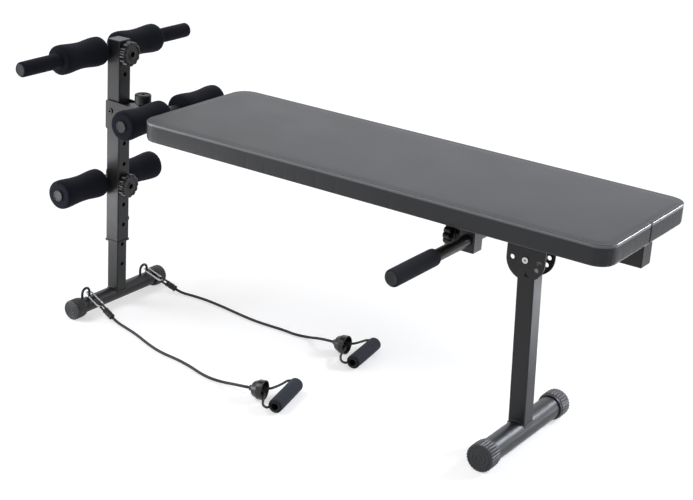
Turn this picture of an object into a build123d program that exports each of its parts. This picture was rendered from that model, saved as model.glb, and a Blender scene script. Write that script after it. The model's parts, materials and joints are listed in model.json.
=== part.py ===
from build123d import *
import os
from math import cos, radians, sin, tan

# Sit-up and exercise bench with leg rollers, push-up bar and two elastic pull cords.
# Millimetres. X runs from the front post to the rear leg, Y to the far side, Z is up from the floor.
# Every distance along the bench is counted from the axis of the front post.

# Clearances
RUN_GAP = 0.06
SLIDE_GAP = 0.2
SEAT_GAP = 0.3

# Front stand
FRONT_TUBE_R = 17.5
FRONT_CAP_WALL = 6.0
FRONT_BASE_HALF = 156.0
FRONT_CAP_LENGTH = 32.0
INNER_SIDE = 32.0
INNER_TOP = 285.0
INNER_HOLES = (100.0, 150.0)
INNER_SLOT_FOOT = 188.0

# Base tube end caps
CAP_END_WALL = 5.0
CAP_RIBS = 28
RIB_HEIGHT = 1.2
RIB_WIDTH = 2.6
CAP_GROOVE = 1.0

# Outer post
POST_SIDE = 38.0
TUBE_WALL = 1.5
CORNER_R = 3.0
POST_FOOT = 161.0
POST_TOP = 641.0
POST_CAP_THICK = 4.0
PLUG_DEPTH = 18.0
BUSH_LIP = 4.0
BUSH_PROUD = 1.5
BUSH_DEPTH = 34.0
POST_HOLES = (200.0, 250.0, 350.0, 400.0, 565.0)
LOCK_Z = 205.0
LOCK_PITCH = 50.0
LOCK_STEPS = (-2, -1, 0, 1)

# Leg bars, rollers and grips
BAR_R = 12.7
UPPER_BAR_Z = 615.0
UPPER_BAR_HALF = 276.0
LOWER_BAR_Z = 300.0
KNEE_BAR_FROM_POST = 154.0
KNEE_SINK = 5.5
KNEE_SADDLE = 4.0
BAR_STANDOFF = 2.0
SADDLE_HALF_Y = 17.0
SADDLE_HALF_Z = 12.0
STUD_R = 5.0
ROLLER_R = 34.0
ROLLER_WAIST_R = 30.0
ROLLER_LENGTH = 134.0
ROLLER_GAP = 8.0
ROLLER_EDGE = 9.0
UPPER_GRIP_R = 17.5
GRIP_EDGE = 3.0
PLUG_HEAD = 3.0
PLUG_LIP = 0.7

# Star knobs
KNOB_R = 28.5
KNOB_LOBES = 12
LOBE_R = 4.8
KNOB_THICK = 18.0
KNOB_HUB = 4.0
KNOB_HUB_R = 12.0
KNOB_EYE_R = 6.5
KNOB_EYE_DEPTH = 8.0

# Main beam and its front bracket
BEAM_TOP = 497.0
PIVOT_WASHER = 1.0
BEAM_HEIGHT = 46.0
BEAM_START = 26.0
BEAM_LENGTH = 1296.0
BEAM_CAP = 4.0
PLATE = 3.0
BRACKET_BACK = 18.5
BRACKET_REACH = 105.0
BRACKET_DROP = 66.0
BRACKET_RISE = 3.0
BRACKET_CORNER = 5.0
BRACKET_EAR = 25.0
WEB_START = 40.0
LOWER_WEB_START = 60.0
TILT_FROM_POST = -4.0
TILT_DROP = 19.0
BOLT_R = 4.0
BOLT_HEAD_R = 6.5
BOLT_HEAD = 2.4
BOLT_SOCKET_R = 2.6
PULL_FROM_POST = 73.5
PULL_STEP = 20.0
PULL_BOSS_R = 9.0
PULL_BOSS = 5.0
PULL_KNOB_R = 19.0
PULL_KNOB = 24.0

# Height lock pin on the far face of the post
LOCK_BOSS_R = 8.0
LOCK_BOSS = 5.0
LOCK_PIN_R = 4.0
LOCK_KNOB_R = 8.8
LOCK_KNOB = 9.0

# Push-up bar under the bench
HANDLE_FROM_POST = 947.5
HANDLE_POST_SIDE = 36.0
HANDLE_POST_DROP = 67.0
HANDLE_BAR_DROP = 42.0
HANDLE_BAR_HALF = 294.0
HANDLE_GRIP_R = 18.5
HANDLE_GRIP_LENGTH = 150.0
HANDLE_BOSS = 12.0
HANDLE_BOSS_R = 10.0

# Rear leg
LEG_FROM_POST = 1086.0
LEG_PIVOT_DROP = 46.0
LEG_HEAD = 28.0
LEG_LEAN = 2.5
LEG_PLATE_R = 43.0
LEG_PLATE_LAP = 30.0
LOCK_CIRCLE = 30.0
LOCK_REST = -78.0
LOCK_ANGLES = (0.0, -32.0, 180.0)
REAR_TUBE_R = 25.0
REAR_CAP_WALL = 5.0
REAR_BASE_HALF = 167.0
REAR_CAP_LENGTH = 38.0

# Pad
PAD_START = 215.0
PAD_LENGTH = 1118.0
PAD_WIDTH = 358.0
PAD_CORNER = 36.0
PAD_SIDE = 35.0
PAD_CROWN = 6.0
PAD_DRAW_IN = 4.0
PAD_SHOULDER = 26.0
PAD_FLAT = 90.0
BOARD_INSET = 10.0
BOARD_THICK = 12.0
CROSS_BARS = (420.0, 1180.0)
CROSS_BAR_WIDTH = 30.0
CROSS_BAR_LENGTH = 270.0
PAD_BOLT_R = 3.0
PAD_BOLT_HEAD_R = 5.5
PAD_BOLT_HEAD = 4.0
PAD_BOLT_Y = 105.0

# Elastic cords
NEAR_EYE_Y = 108.0
FAR_EYE_Y = 96.0
EYE_HALF = 12.0
EYE_WIRE_R = 3.0
EYE_HEIGHT = 27.0
HOOK_WIRE_R = 2.0
HOOK_BEND_R = 9.0
HOOK_SPAN = 33.5
HOOK_RISE = 7.0
HOOK_SLOPE = 24.0
GATE_START = 4.4
GATE_END = 27.4
GATE_R = 1.7
CORD_R = 3.25
CORD_EXIT = 15.0
LOOP_R = 2.5
LOOP_LENGTH = 14.0
SLEEVE_R = 7.6
SLEEVE_LENGTH = 28.0
SLEEVE_SLOPE = 25.0
CUP_R = 22.0
CUP_SHOULDER_R = 21.2
CUP_FLOOR_R = 11.0
CUP_NECK_R = 6.5
CUP_NECK = 4.0
CUP_SHOULDER = 22.0
CUP_LENGTH = 36.0
CUP_WALL = 2.5
CUP_FLOOR = 14.0
STRAP_R = 2.75
STRAP_BEND = 9.0
CUP_SPREAD = 7.0
CORE_R = 11.0
CORE_BORE_R = 8.0
CORE_LENGTH = 124.0
FOAM_HANDLE_R = 16.5
FOAM_HANDLE_LENGTH = 120.0

# Sizes and places worked out from those above
FRONT_CAP_R = FRONT_TUBE_R + FRONT_CAP_WALL
REAR_CAP_R = REAR_TUBE_R + REAR_CAP_WALL
HOLE_R = STUD_R
PIN_R = HOLE_R - SLIDE_GAP / 2
PLUG_HEAD_R = BAR_R + PLUG_LIP
BEAM_WIDTH = POST_SIDE + 2 * PIVOT_WASHER
LEG_SIDE = BEAM_WIDTH - 2 * PIVOT_WASHER
ROLLER_INNER_Y = BEAM_WIDTH / 2 + ROLLER_GAP
BAR_FROM_POST = -(POST_SIDE / 2 + BAR_STANDOFF + BAR_R)
POST_X = -(PAD_START + PAD_LENGTH + BAR_FROM_POST - ROLLER_R) / 2
BEAM_FOOT = BEAM_TOP - BEAM_HEIGHT
PLATE_Y = BEAM_WIDTH / 2 + SLIDE_GAP
TILT_Z = BEAM_TOP - TILT_DROP
ROLLER_OUTER_Y = ROLLER_INNER_Y + ROLLER_LENGTH
SHORT_BAR_HALF = ROLLER_OUTER_Y + 0.5
KNEE_BAR_Z = BEAM_TOP + BAR_R - KNEE_SINK
STUD_TIP = POST_SIDE / 2 + KNOB_HUB + KNOB_THICK - KNOB_EYE_DEPTH
PAD_FOOT = BEAM_TOP + PLATE
LEG_PIVOT_Z = BEAM_FOOT - LEG_PIVOT_DROP
LEG_LENGTH = (LEG_PIVOT_Z - REAR_CAP_R) / cos(radians(LEG_LEAN))
REAR_BASE_FROM_POST = LEG_FROM_POST + LEG_LENGTH * sin(radians(LEG_LEAN))
HANDLE_BAR_Z = BEAM_FOOT - HANDLE_BAR_DROP
SIDES = {"near": -1, "far": 1}
EYE_AT = {-1: -NEAR_EYE_Y, 1: FAR_EYE_Y}


def along(distance):
    return POST_X + distance


def block(x, y, z):
    """Box between two limits on each axis."""
    corner = Pos((x[0] + x[1]) / 2, (y[0] + y[1]) / 2, (z[0] + z[1]) / 2)
    return corner * Box(x[1] - x[0], y[1] - y[0], z[1] - z[0])


def rod_x(r, x0, x1, y, z):
    return Pos((x0 + x1) / 2, y, z) * Rot(0, 90, 0) * Cylinder(r, x1 - x0)


def rod_y(r, y0, y1, x, z):
    return Pos(x, (y0 + y1) / 2, z) * Rot(90, 0, 0) * Cylinder(r, y1 - y0)


def rod_z(r, z0, z1, x, y):
    return Pos(x, y, (z0 + z1) / 2) * Cylinder(r, z1 - z0)


def stub(r, z0, z1):
    """Cylinder on the local Z axis."""
    return rod_z(r, z0, z1, 0, 0)


def box_tube(width, depth, length, wall=TUBE_WALL):
    """Square or rectangular tube standing on the local origin."""
    outer = RectangleRounded(width, depth, CORNER_R)
    inner = RectangleRounded(width - 2 * wall, depth - 2 * wall, max(CORNER_R - wall, 0.4))
    return extrude(outer - inner, length)


def round_tube_y(r, half, x, z, wall=TUBE_WALL):
    return rod_y(r, -half, half, x, z) - rod_y(r - wall, -half, half, x, z)


def facing(side, x, y, z):
    """Frame whose local Z points out along Y on one side of the bench."""
    return Pos(x, y, z) * Rot(-90 * side, 0, 0)


def turned(profile):
    """Solid of revolution about the local Z axis from a profile in radius and height."""
    return revolve(Plane.XZ * make_face(profile), Axis.Z)


def wire_rod(path, r):
    return sweep(Plane(path @ 0, z_dir=path % 0) * Circle(r), path=path)


# Base tubes and their ribbed caps


def foot_cap(tube_r, cap_r, length):
    """Ribbed cap on the local Z axis, from its open end to its closed face."""
    body = stub(cap_r - RIB_HEIGHT, 0, length)
    rib = Pos(cap_r - RIB_HEIGHT, 0, length / 2) * Box(2 * RIB_HEIGHT, RIB_WIDTH, length - 2 * CAP_GROOVE)
    body += [Rot(0, 0, 360 / CAP_RIBS * i) * rib for i in range(CAP_RIBS)]
    body -= stub(tube_r, 0, length - CAP_END_WALL)
    ring_r = cap_r - CAP_END_WALL
    groove_foot = length - CAP_GROOVE
    return body - (stub(ring_r, groove_foot, length) - stub(ring_r - CAP_GROOVE, groove_foot, length))


def base_tube(tube_r, cap_r, half, x):
    return round_tube_y(tube_r, half - CAP_END_WALL, x, cap_r)


def base_caps(tube_r, cap_r, half, length, x):
    cap = foot_cap(tube_r, cap_r, length)
    return [facing(side, x, side * (half - length), cap_r) * cap for side in SIDES.values()]


# Telescopic front post


def inner_post():
    post = Pos(POST_X, 0, FRONT_CAP_R) * box_tube(INNER_SIDE, INNER_SIDE, INNER_TOP - FRONT_CAP_R)
    post -= rod_y(FRONT_TUBE_R, -INNER_SIDE, INNER_SIDE, POST_X, FRONT_CAP_R)
    reach = INNER_SIDE
    for z in INNER_HOLES:
        post -= rod_x(HOLE_R, POST_X - reach, POST_X + reach, 0, z)
    for step in LOCK_STEPS:
        post -= rod_y(LOCK_PIN_R + SLIDE_GAP, 0, reach, POST_X, LOCK_Z + step * LOCK_PITCH)
    slot_half = STUD_R + 1.5
    slot = block((POST_X - reach, POST_X + reach), (-slot_half, slot_half), (INNER_SLOT_FOOT, INNER_TOP))
    return post - slot


def outer_post():
    """Post with its cross holes, the hole of the tilt bolt and the boss of the height lock."""
    half = POST_SIDE / 2
    post = Pos(POST_X, 0, POST_FOOT) * box_tube(POST_SIDE, POST_SIDE, POST_TOP - POST_FOOT)
    post += rod_y(LOCK_BOSS_R, half - TUBE_WALL / 2, half + LOCK_BOSS, POST_X, LOCK_Z)
    for z in POST_HOLES + (UPPER_BAR_Z, LOWER_BAR_Z):
        post -= rod_x(HOLE_R + SLIDE_GAP, POST_X - POST_SIDE, POST_X + POST_SIDE, 0, z)
    post -= rod_y(BOLT_R + RUN_GAP, -POST_SIDE, POST_SIDE, along(TILT_FROM_POST), TILT_Z)
    return post - rod_y(LOCK_PIN_R + RUN_GAP, 0, POST_SIDE, POST_X, LOCK_Z)


def post_bush():
    """Plastic collar in the foot of the outer post, round the inner post."""
    lip_side = POST_SIDE + 2 * BUSH_PROUD
    sleeve_side = POST_SIDE - 2 * TUBE_WALL
    lip = extrude(RectangleRounded(lip_side, lip_side, CORNER_R), BUSH_LIP)
    sleeve = extrude(RectangleRounded(sleeve_side, sleeve_side, CORNER_R - TUBE_WALL), BUSH_LIP + BUSH_DEPTH)
    bore_side = INNER_SIDE + 2 * SLIDE_GAP
    bore = extrude(RectangleRounded(bore_side, bore_side, CORNER_R), BUSH_LIP + BUSH_DEPTH)
    return Pos(POST_X, 0, POST_FOOT - BUSH_LIP) * (lip + sleeve - bore)


def square_plug(width, depth, head):
    """Push-in tube plug on the local Z axis: the head stands above zero, the plug reaches below."""
    top = extrude(RectangleRounded(width, depth, CORNER_R), head)
    top = fillet(top.faces().sort_by(Axis.Z)[-1].edges(), head / 2)
    wide = width - 2 * TUBE_WALL
    deep = depth - 2 * TUBE_WALL
    plug = extrude(RectangleRounded(wide, deep, CORNER_R - TUBE_WALL), -PLUG_DEPTH)
    hollow = Pos(0, 0, -head) * extrude(Rectangle(wide - 2 * head, deep - 2 * head), -PLUG_DEPTH)
    return top + plug - hollow


def height_pin():
    """Spring pin of the height lock: it stops just short of the inner post."""
    half = POST_SIDE / 2
    seat = half + LOCK_BOSS + SEAT_GAP
    pin = rod_y(LOCK_PIN_R, INNER_SIDE / 2 + SEAT_GAP, seat, POST_X, LOCK_Z)
    return pin + rod_y(LOCK_KNOB_R, seat, seat + LOCK_KNOB, POST_X, LOCK_Z)


# Leg bars


def cross_tube(half, x, z):
    return round_tube_y(BAR_R, half, x, z)


def post_bar(half, z):
    """Tube behind the post with the stud that passes through the post to its knob."""
    x = along(BAR_FROM_POST)
    stud = rod_x(STUD_R, x, along(STUD_TIP), 0, z)
    return cross_tube(half, x, z) + stud


def bar_saddle(z):
    """Spacer between a leg bar and the flat of the post."""
    x = along(BAR_FROM_POST)
    face = along(-POST_SIDE / 2)
    heights = (z - SADDLE_HALF_Z, z + SADDLE_HALF_Z)
    spacer = block((x + BAR_R / 2, face), (-SADDLE_HALF_Y, SADDLE_HALF_Y), heights)
    spacer -= rod_y(BAR_R, -POST_SIDE, POST_SIDE, x, z)
    return spacer - rod_x(STUD_R, x, face, 0, z)


def bar_plug():
    """Push-in end plug of a round bar on the local Z axis, with a rounded head."""
    head = stub(PLUG_HEAD_R, 0, PLUG_HEAD)
    head = fillet(head.edges().sort_by(Axis.Z)[-1], PLUG_HEAD * 0.7)
    return head + stub(BAR_R - TUBE_WALL, -PLUG_DEPTH, 0)


def bar_plugs(half, x, z):
    return [facing(side, x, side * half, z) * bar_plug() for side in SIDES.values()]


def foam_roller():
    """Hourglass foam roller on the local Z axis."""
    bore = BAR_R + RUN_GAP
    end = ROLLER_LENGTH
    land = ROLLER_R - ROLLER_EDGE
    bend = ROLLER_EDGE * sin(radians(45))
    low = ROLLER_EDGE
    high = end - ROLLER_EDGE
    outline = Line((bore, 0), (land, 0))
    outline += ThreePointArc((land, 0), (land + bend, low - bend), (ROLLER_R, low))
    outline += ThreePointArc((ROLLER_R, low), (ROLLER_WAIST_R, end / 2), (ROLLER_R, high))
    outline += ThreePointArc((ROLLER_R, high), (land + bend, high + bend), (land, end))
    outline += Line((land, end), (bore, end))
    outline += Line((bore, end), (bore, 0))
    return turned(outline)


def foam_grip(r, bore_r, length, edge=GRIP_EDGE):
    """Straight foam sleeve on the local Z axis with rounded ends."""
    sleeve = stub(r, 0, length)
    sleeve = fillet(sleeve.edges().filter_by(GeomType.CIRCLE), edge)
    return sleeve - stub(bore_r, 0, length)


def star_knob(bore_r):
    """Lobed hand knob on the local Z axis, standing on its hub."""
    lobe_at = KNOB_R - LOBE_R
    knob = stub(KNOB_HUB_R, SLIDE_GAP, KNOB_HUB) + stub(lobe_at, KNOB_HUB, KNOB_HUB + KNOB_THICK)
    lobe = Pos(lobe_at, 0, KNOB_HUB + KNOB_THICK / 2) * Cylinder(LOBE_R, KNOB_THICK)
    knob += [Rot(0, 0, 360 / KNOB_LOBES * i) * lobe for i in range(KNOB_LOBES)]
    top = KNOB_HUB + KNOB_THICK
    knob -= stub(KNOB_EYE_R, top - KNOB_EYE_DEPTH, top)
    return knob - stub(bore_r, 0, top) if bore_r else knob


# Main beam, bracket and what hangs on it


def bracket_plate():
    """Side plate on the XZ plane, with an ear that hangs down beside the post."""
    back = along(-BRACKET_BACK)
    front = along(BRACKET_REACH)
    top = BEAM_TOP + SLIDE_GAP + PLATE
    ear = top - BRACKET_DROP
    web = BEAM_FOOT - SLIDE_GAP - PLATE
    ear_end = along(POST_SIDE / 2 + BRACKET_EAR)
    corners = [(back, ear), (ear_end, ear), (along(LOWER_WEB_START), web), (front, web), (front, top)]
    corners += [(along(WEB_START), top), (back, top + BRACKET_RISE)]
    face = make_face(Polyline(*corners, close=True))
    face = fillet(face.vertices().sort_by(Axis.X)[:3], BRACKET_CORNER)
    return extrude(Plane.XZ * face, PLATE)


def front_bracket():
    """Two side plates that hold the post and the sleeve in which the beam slides."""
    front = along(BRACKET_REACH)
    top = BEAM_TOP + SLIDE_GAP
    foot = BEAM_FOOT - SLIDE_GAP
    outer = PLATE_Y + PLATE
    bracket = block((along(WEB_START), front), (-outer, outer), (top, top + PLATE))
    bracket += block((along(LOWER_WEB_START), front), (-outer, outer), (foot - PLATE, foot))
    for y in (-PLATE_Y, outer):
        bracket += Pos(0, y, 0) * bracket_plate()
    bracket += rod_z(PULL_BOSS_R, top, top + PLATE + PULL_BOSS, along(PULL_FROM_POST), 0)
    bracket -= rod_z(PIN_R + RUN_GAP, BEAM_FOOT + PLATE, BEAM_TOP + 4 * PULL_BOSS, along(PULL_FROM_POST), 0)
    return bracket - rod_y(BOLT_R + RUN_GAP, -POST_SIDE, POST_SIDE, along(TILT_FROM_POST), TILT_Z)


def pivot_bolt(x, z, inner_half, outer_half):
    """Socket bolt along Y with its nut, and a washer on each side of the piece between the plates."""
    reach = outer_half + SLIDE_GAP
    bolt = rod_y(BOLT_R, -reach, reach + BOLT_HEAD, x, z)
    bolt += rod_y(BOLT_HEAD_R, -reach - BOLT_HEAD, -reach, x, z)
    bolt -= rod_y(BOLT_SOCKET_R, -reach - BOLT_HEAD, -reach + BOLT_HEAD, x, z)
    nut_face = facing(1, x, reach, z) * RegularPolygon(BOLT_HEAD_R, 6)
    nut = extrude(nut_face, BOLT_HEAD * 2) - rod_y(BOLT_R, 0, reach + 3 * BOLT_HEAD, x, z)
    gap = outer_half - PLATE - inner_half
    washers = []
    for side in SIDES.values():
        span = sorted((side * inner_half, side * (inner_half + gap - SLIDE_GAP)))
        ring = rod_y(2 * BOLT_R, *span, x, z) - rod_y(BOLT_R + RUN_GAP, *span, x, z)
        washers.append(ring)
    return [bolt, nut] + washers


def pull_pin():
    """Spring pin with a round knob on the bracket: it stops just above the beam."""
    seat = BEAM_TOP + SLIDE_GAP + PLATE + PULL_BOSS + SEAT_GAP
    x = along(PULL_FROM_POST)
    pin = rod_z(PIN_R, BEAM_TOP + SEAT_GAP, seat, x, 0) + rod_z(PULL_KNOB_R, seat, seat + PULL_KNOB, x, 0)
    return pin - rod_z(KNOB_EYE_R, seat + PULL_KNOB - KNOB_EYE_DEPTH, seat + PULL_KNOB, x, 0)


def main_beam():
    beam = box_tube(BEAM_HEIGHT, BEAM_WIDTH, BEAM_LENGTH)
    beam = Pos(along(BEAM_START), 0, BEAM_TOP - BEAM_HEIGHT / 2) * Rot(0, 90, 0) * beam
    for step in range(3):
        hole_x = along(PULL_FROM_POST - step * PULL_STEP)
        beam -= rod_z(HOLE_R, BEAM_TOP - 2 * TUBE_WALL, BEAM_TOP + TUBE_WALL, hole_x, 0)
    return beam - rod_y(BAR_R, -BEAM_WIDTH, BEAM_WIDTH, along(KNEE_BAR_FROM_POST), KNEE_BAR_Z)


def beam_end_cap():
    plug = square_plug(BEAM_HEIGHT, BEAM_WIDTH, BEAM_CAP)
    return Pos(along(BEAM_START + BEAM_LENGTH), 0, BEAM_TOP - BEAM_HEIGHT / 2) * Rot(0, 90, 0) * plug


def knee_bar():
    """Roller bar sunk in the beam, in a small saddle."""
    x = along(KNEE_BAR_FROM_POST)
    reach = BAR_R + KNEE_SADDLE
    saddle = block((x - reach, x + reach), (-SADDLE_HALF_Y, SADDLE_HALF_Y), (BEAM_TOP, KNEE_BAR_Z))
    saddle -= rod_y(BAR_R - TUBE_WALL / 2, -SADDLE_HALF_Y, SADDLE_HALF_Y, x, KNEE_BAR_Z)
    return cross_tube(SHORT_BAR_HALF, x, KNEE_BAR_Z) + saddle


def handle_post():
    """Closed square tube under the beam, bored for the bar, with the boss of its clamp knob."""
    x = along(HANDLE_FROM_POST)
    foot = BEAM_FOOT - HANDLE_POST_DROP
    half = HANDLE_POST_SIDE / 2
    post = Pos(x, 0, foot) * box_tube(HANDLE_POST_SIDE, HANDLE_POST_SIDE, HANDLE_POST_DROP)
    floor_plate = RectangleRounded(HANDLE_POST_SIDE, HANDLE_POST_SIDE, CORNER_R)
    post += Pos(x, 0, foot) * extrude(floor_plate, TUBE_WALL)
    post += rod_x(HANDLE_BOSS_R, x - half - HANDLE_BOSS, x - half + TUBE_WALL / 2, 0, HANDLE_BAR_Z)
    post -= rod_x(STUD_R + RUN_GAP, x - 2 * half - HANDLE_BOSS, x, 0, HANDLE_BAR_Z)
    return post - rod_y(BAR_R + SLIDE_GAP, -HANDLE_POST_SIDE, HANDLE_POST_SIDE, x, HANDLE_BAR_Z)


def handle_knob():
    """Clamp knob whose screw presses on the push-up bar."""
    face = along(HANDLE_FROM_POST) - HANDLE_POST_SIDE / 2 - HANDLE_BOSS
    screw = rod_x(STUD_R, face - KNOB_HUB, along(HANDLE_FROM_POST) - BAR_R - SEAT_GAP, 0, HANDLE_BAR_Z)
    return Pos(face, 0, HANDLE_BAR_Z) * Rot(0, -90, 0) * star_knob(0) + screw


def leg_plate(side):
    """Half-round plate welded to the side of the beam, with the pivot and the lock holes."""
    x = along(LEG_FROM_POST)
    y = sorted((side * BEAM_WIDTH / 2, side * (BEAM_WIDTH / 2 + PLATE)))
    plate = rod_y(LEG_PLATE_R, *y, x, LEG_PIVOT_Z)
    plate += block((x - LEG_PLATE_R, x + LEG_PLATE_R), y, (LEG_PIVOT_Z, BEAM_FOOT + LEG_PLATE_LAP))
    plate -= rod_y(BOLT_R + RUN_GAP, *y, x, LEG_PIVOT_Z)
    for angle in LOCK_ANGLES + (LOCK_REST,):
        turn = radians(angle)
        plate -= rod_y(HOLE_R, *y, x + LOCK_CIRCLE * cos(turn), LEG_PIVOT_Z + LOCK_CIRCLE * sin(turn))
    return plate


def leg_frame():
    """Frame of the rear leg at its pivot, leaning out at the foot."""
    return Pos(along(LEG_FROM_POST), 0, LEG_PIVOT_Z) * Rot(0, -LEG_LEAN, 0)


def lock_spot():
    """Place of the lock pin in the frame of the leg."""
    turn = radians(LOCK_REST - LEG_LEAN)
    return LOCK_CIRCLE * cos(turn), LOCK_CIRCLE * sin(turn)


def rear_leg():
    half = LEG_SIDE
    leg = Pos(0, 0, -LEG_LENGTH) * box_tube(LEG_SIDE, LEG_SIDE, LEG_LENGTH + LEG_HEAD)
    leg -= rod_y(REAR_TUBE_R, -half, half, 0, -LEG_LENGTH)
    leg -= rod_y(BOLT_R + RUN_GAP, -half, half, 0, 0)
    leg -= rod_y(HOLE_R + RUN_GAP, -half, half, *lock_spot())
    return leg_frame() * leg


def leg_lock_pin():
    """Detent pin across the leg, seen through the lock holes of the plates."""
    half = BEAM_WIDTH / 2 - SEAT_GAP
    return leg_frame() * rod_y(HOLE_R, -half, half, *lock_spot())


# Pad


def pad_outline(inset):
    corner = max(PAD_CORNER - inset, 4.0)
    return RectangleRounded(PAD_LENGTH - 2 * inset, PAD_WIDTH - 2 * inset, corner)


def pad_cushion():
    """Upholstered pad: sides drawn in at top and bottom, crowned top, pocket for the board."""
    levels = (
        (0, PAD_DRAW_IN),
        (PAD_SIDE * 0.15, PAD_DRAW_IN * 0.35),
        (PAD_SIDE * 0.45, 0),
        (PAD_SIDE * 0.8, PAD_DRAW_IN * 0.2),
        (PAD_SIDE, PAD_DRAW_IN),
        (PAD_SIDE + PAD_CROWN * 0.6, PAD_SHOULDER),
        (PAD_SIDE + PAD_CROWN, PAD_FLAT),
    )
    centre = along(PAD_START + PAD_LENGTH / 2)
    pad = loft([Pos(0, 0, height) * pad_outline(inset) for height, inset in levels], ruled=True)
    pocket = extrude(pad_outline(BOARD_INSET), BOARD_THICK)
    return Pos(centre, 0, PAD_FOOT) * (pad - pocket)


def pad_board():
    centre = along(PAD_START + PAD_LENGTH / 2)
    board = Pos(centre, 0, PAD_FOOT) * extrude(pad_outline(BOARD_INSET), BOARD_THICK)
    for x, y in pad_bolt_places():
        board -= rod_z(PAD_BOLT_R, PAD_FOOT, PAD_FOOT + BOARD_THICK * 0.8, x, y)
    return board


def pad_bolt_places():
    return [(along(x), side * PAD_BOLT_Y) for x in CROSS_BARS for side in SIDES.values()]


def cross_bars():
    bars = []
    for x in CROSS_BARS:
        half = CROSS_BAR_WIDTH / 2
        reach = CROSS_BAR_LENGTH / 2
        bar = block((along(x) - half, along(x) + half), (-reach, reach), (BEAM_TOP, PAD_FOOT))
        for side in SIDES.values():
            bar -= rod_z(PAD_BOLT_R, BEAM_TOP, PAD_FOOT, along(x), side * PAD_BOLT_Y)
        bars.append(bar)
    return bars


def pad_bolts():
    bolts = []
    for x, y in pad_bolt_places():
        shank = rod_z(PAD_BOLT_R, BEAM_TOP, PAD_FOOT + BOARD_THICK * 0.8, x, y)
        bolts.append(shank + rod_z(PAD_BOLT_HEAD_R, BEAM_TOP - PAD_BOLT_HEAD, BEAM_TOP, x, y))
    return bolts


# Cords


def bend_radii(points):
    """Bend at each corner of a route, as large as its two runs allow."""
    radii = []
    for before, here, after in zip(points, points[1:], points[2:]):
        run_in = Vector(*here) - Vector(*before)
        run_out = Vector(*after) - Vector(*here)
        turn = radians(run_in.get_angle(run_out))
        radii.append(0.45 * min(run_in.length, run_out.length) / tan(turn / 2))
    return radii


def cord_tube(name, points, r):
    """Tube along straight runs and tangent arcs; its volume is compared with section times length."""
    radii = bend_radii(points)
    path = FilletPolyline(*points, radius=radii)
    tube = wire_rod(path, r)
    print(name, "length", round(path.length), "bends", [round(v) for v in radii])
    print(name, "volume ratio", round(tube.volume / (path.length * 3.14159265 * r * r), 4))
    return tube


def eye_leg_y(side):
    """Far leg of an eye, the one that its hook goes round."""
    return EYE_AT[side] + EYE_HALF


def wire_eye(side):
    y = EYE_AT[side]
    straight = FRONT_CAP_R + FRONT_TUBE_R + EYE_HEIGHT - EYE_HALF - EYE_WIRE_R
    left = y - EYE_HALF
    right = y + EYE_HALF
    path = Line((0, left, FRONT_CAP_R), (0, left, straight))
    path += ThreePointArc((0, left, straight), (0, y, straight + EYE_HALF), (0, right, straight))
    path += Line((0, right, straight), (0, right, FRONT_CAP_R))
    eye = wire_rod(path, EYE_WIRE_R) - rod_y(FRONT_TUBE_R, y - 3 * EYE_HALF, y + 3 * EYE_HALF, 0, FRONT_CAP_R)
    return Pos(POST_X, 0, 0) * eye


# Plan angle of each hook, then the cord's route on the floor as distances from the post's axis
HOOK_TURN = {"near": -5.0, "far": 15.0}
CORD_ROUTE = {
    "near": (
        (120, -110, 3.6), (170, -123.5, 3.5), (226, -146.5, 3.5), (276, -161.5, 3.5), (326, -165, 3.5),
        (372, -174, 3.5), (412, -187, 3.5), (446, -192, 3.5), (480, -190.5, 5), (512, -195.5, 12.5),
    ),
    "far": (
        (119, 139.5, 3.6), (164, 141.5, 3.5), (218, 135.5, 3.5), (272, 127, 3.5), (322, 120.5, 3.5),
        (366, 121, 3.5), (408, 123.5, 3.5), (444, 120.5, 3.5), (479, 127, 4.5), (512, 126, 12),
    ),
}
CUP_NECK_AT = {"near": (556.5, -198.7, 20.5), "far": (556, 116, 20.5)}
CUP_AIM = {"near": (97.5, 21.5, 4.5), "far": (99.6, 7.2, 4.5)}
HANDLE_AT = {"near": (632, -171), "far": (637, 120)}
HANDLE_TURN = {"near": 104.0, "far": 99.0}
STRAP_ROUTE = {
    "near": {"out": ((606, -216, 16),), "back": ((594, -128, 17), (596, -158, 20))},
    "far": {"out": ((599, 91, 18), (605, 72, 16)), "back": ((601, 154, 20),)},
}


def hook_frame(name):
    """Frame of a spring hook: local X runs down from the eye to the cord, local Z stands out of its ring."""
    leg_y = eye_leg_y(SIDES[name])
    ring = Pos(POST_X, leg_y, FRONT_CAP_R + FRONT_TUBE_R + HOOK_RISE) * Rot(0, 0, HOOK_TURN[name])
    behind = (EYE_WIRE_R + HOOK_WIRE_R + SEAT_GAP) / cos(radians(HOOK_SLOPE)) - HOOK_BEND_R
    return ring * Rot(0, HOOK_SLOPE, 0) * Pos(-behind, 0, 0)


def hook_body():
    """Stadium ring with the opening of its gate on one side."""
    bend = HOOK_BEND_R
    gap = 0.4
    gate_stop = GATE_END + GATE_R + gap
    path = Line((GATE_START - gap, bend, 0), (0, bend, 0))
    path += ThreePointArc((0, bend, 0), (-bend, 0, 0), (0, -bend, 0))
    path += Line((0, -bend, 0), (HOOK_SPAN, -bend, 0))
    path += ThreePointArc((HOOK_SPAN, -bend, 0), (HOOK_SPAN + bend, 0, 0), (HOOK_SPAN, bend, 0))
    path += Line((HOOK_SPAN, bend, 0), (gate_stop, bend, 0))
    return wire_rod(path, HOOK_WIRE_R)


def hook_gate():
    gate = rod_x(GATE_R, GATE_START, GATE_END, HOOK_BEND_R, 0)
    return gate + Pos(GATE_END, HOOK_BEND_R, 0) * Sphere(GATE_R)


def loop_frame(name):
    """Frame of a cord's end loop: origin in the wire of the hook's lower bend, local X down the cord."""
    lower_bend = hook_frame(name) * Pos(HOOK_SPAN + HOOK_BEND_R, 0, 0)
    return Pos(*lower_bend.position) * Rot(0, 0, HOOK_TURN[name]) * Rot(0, SLEEVE_SLOPE, 0)


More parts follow.
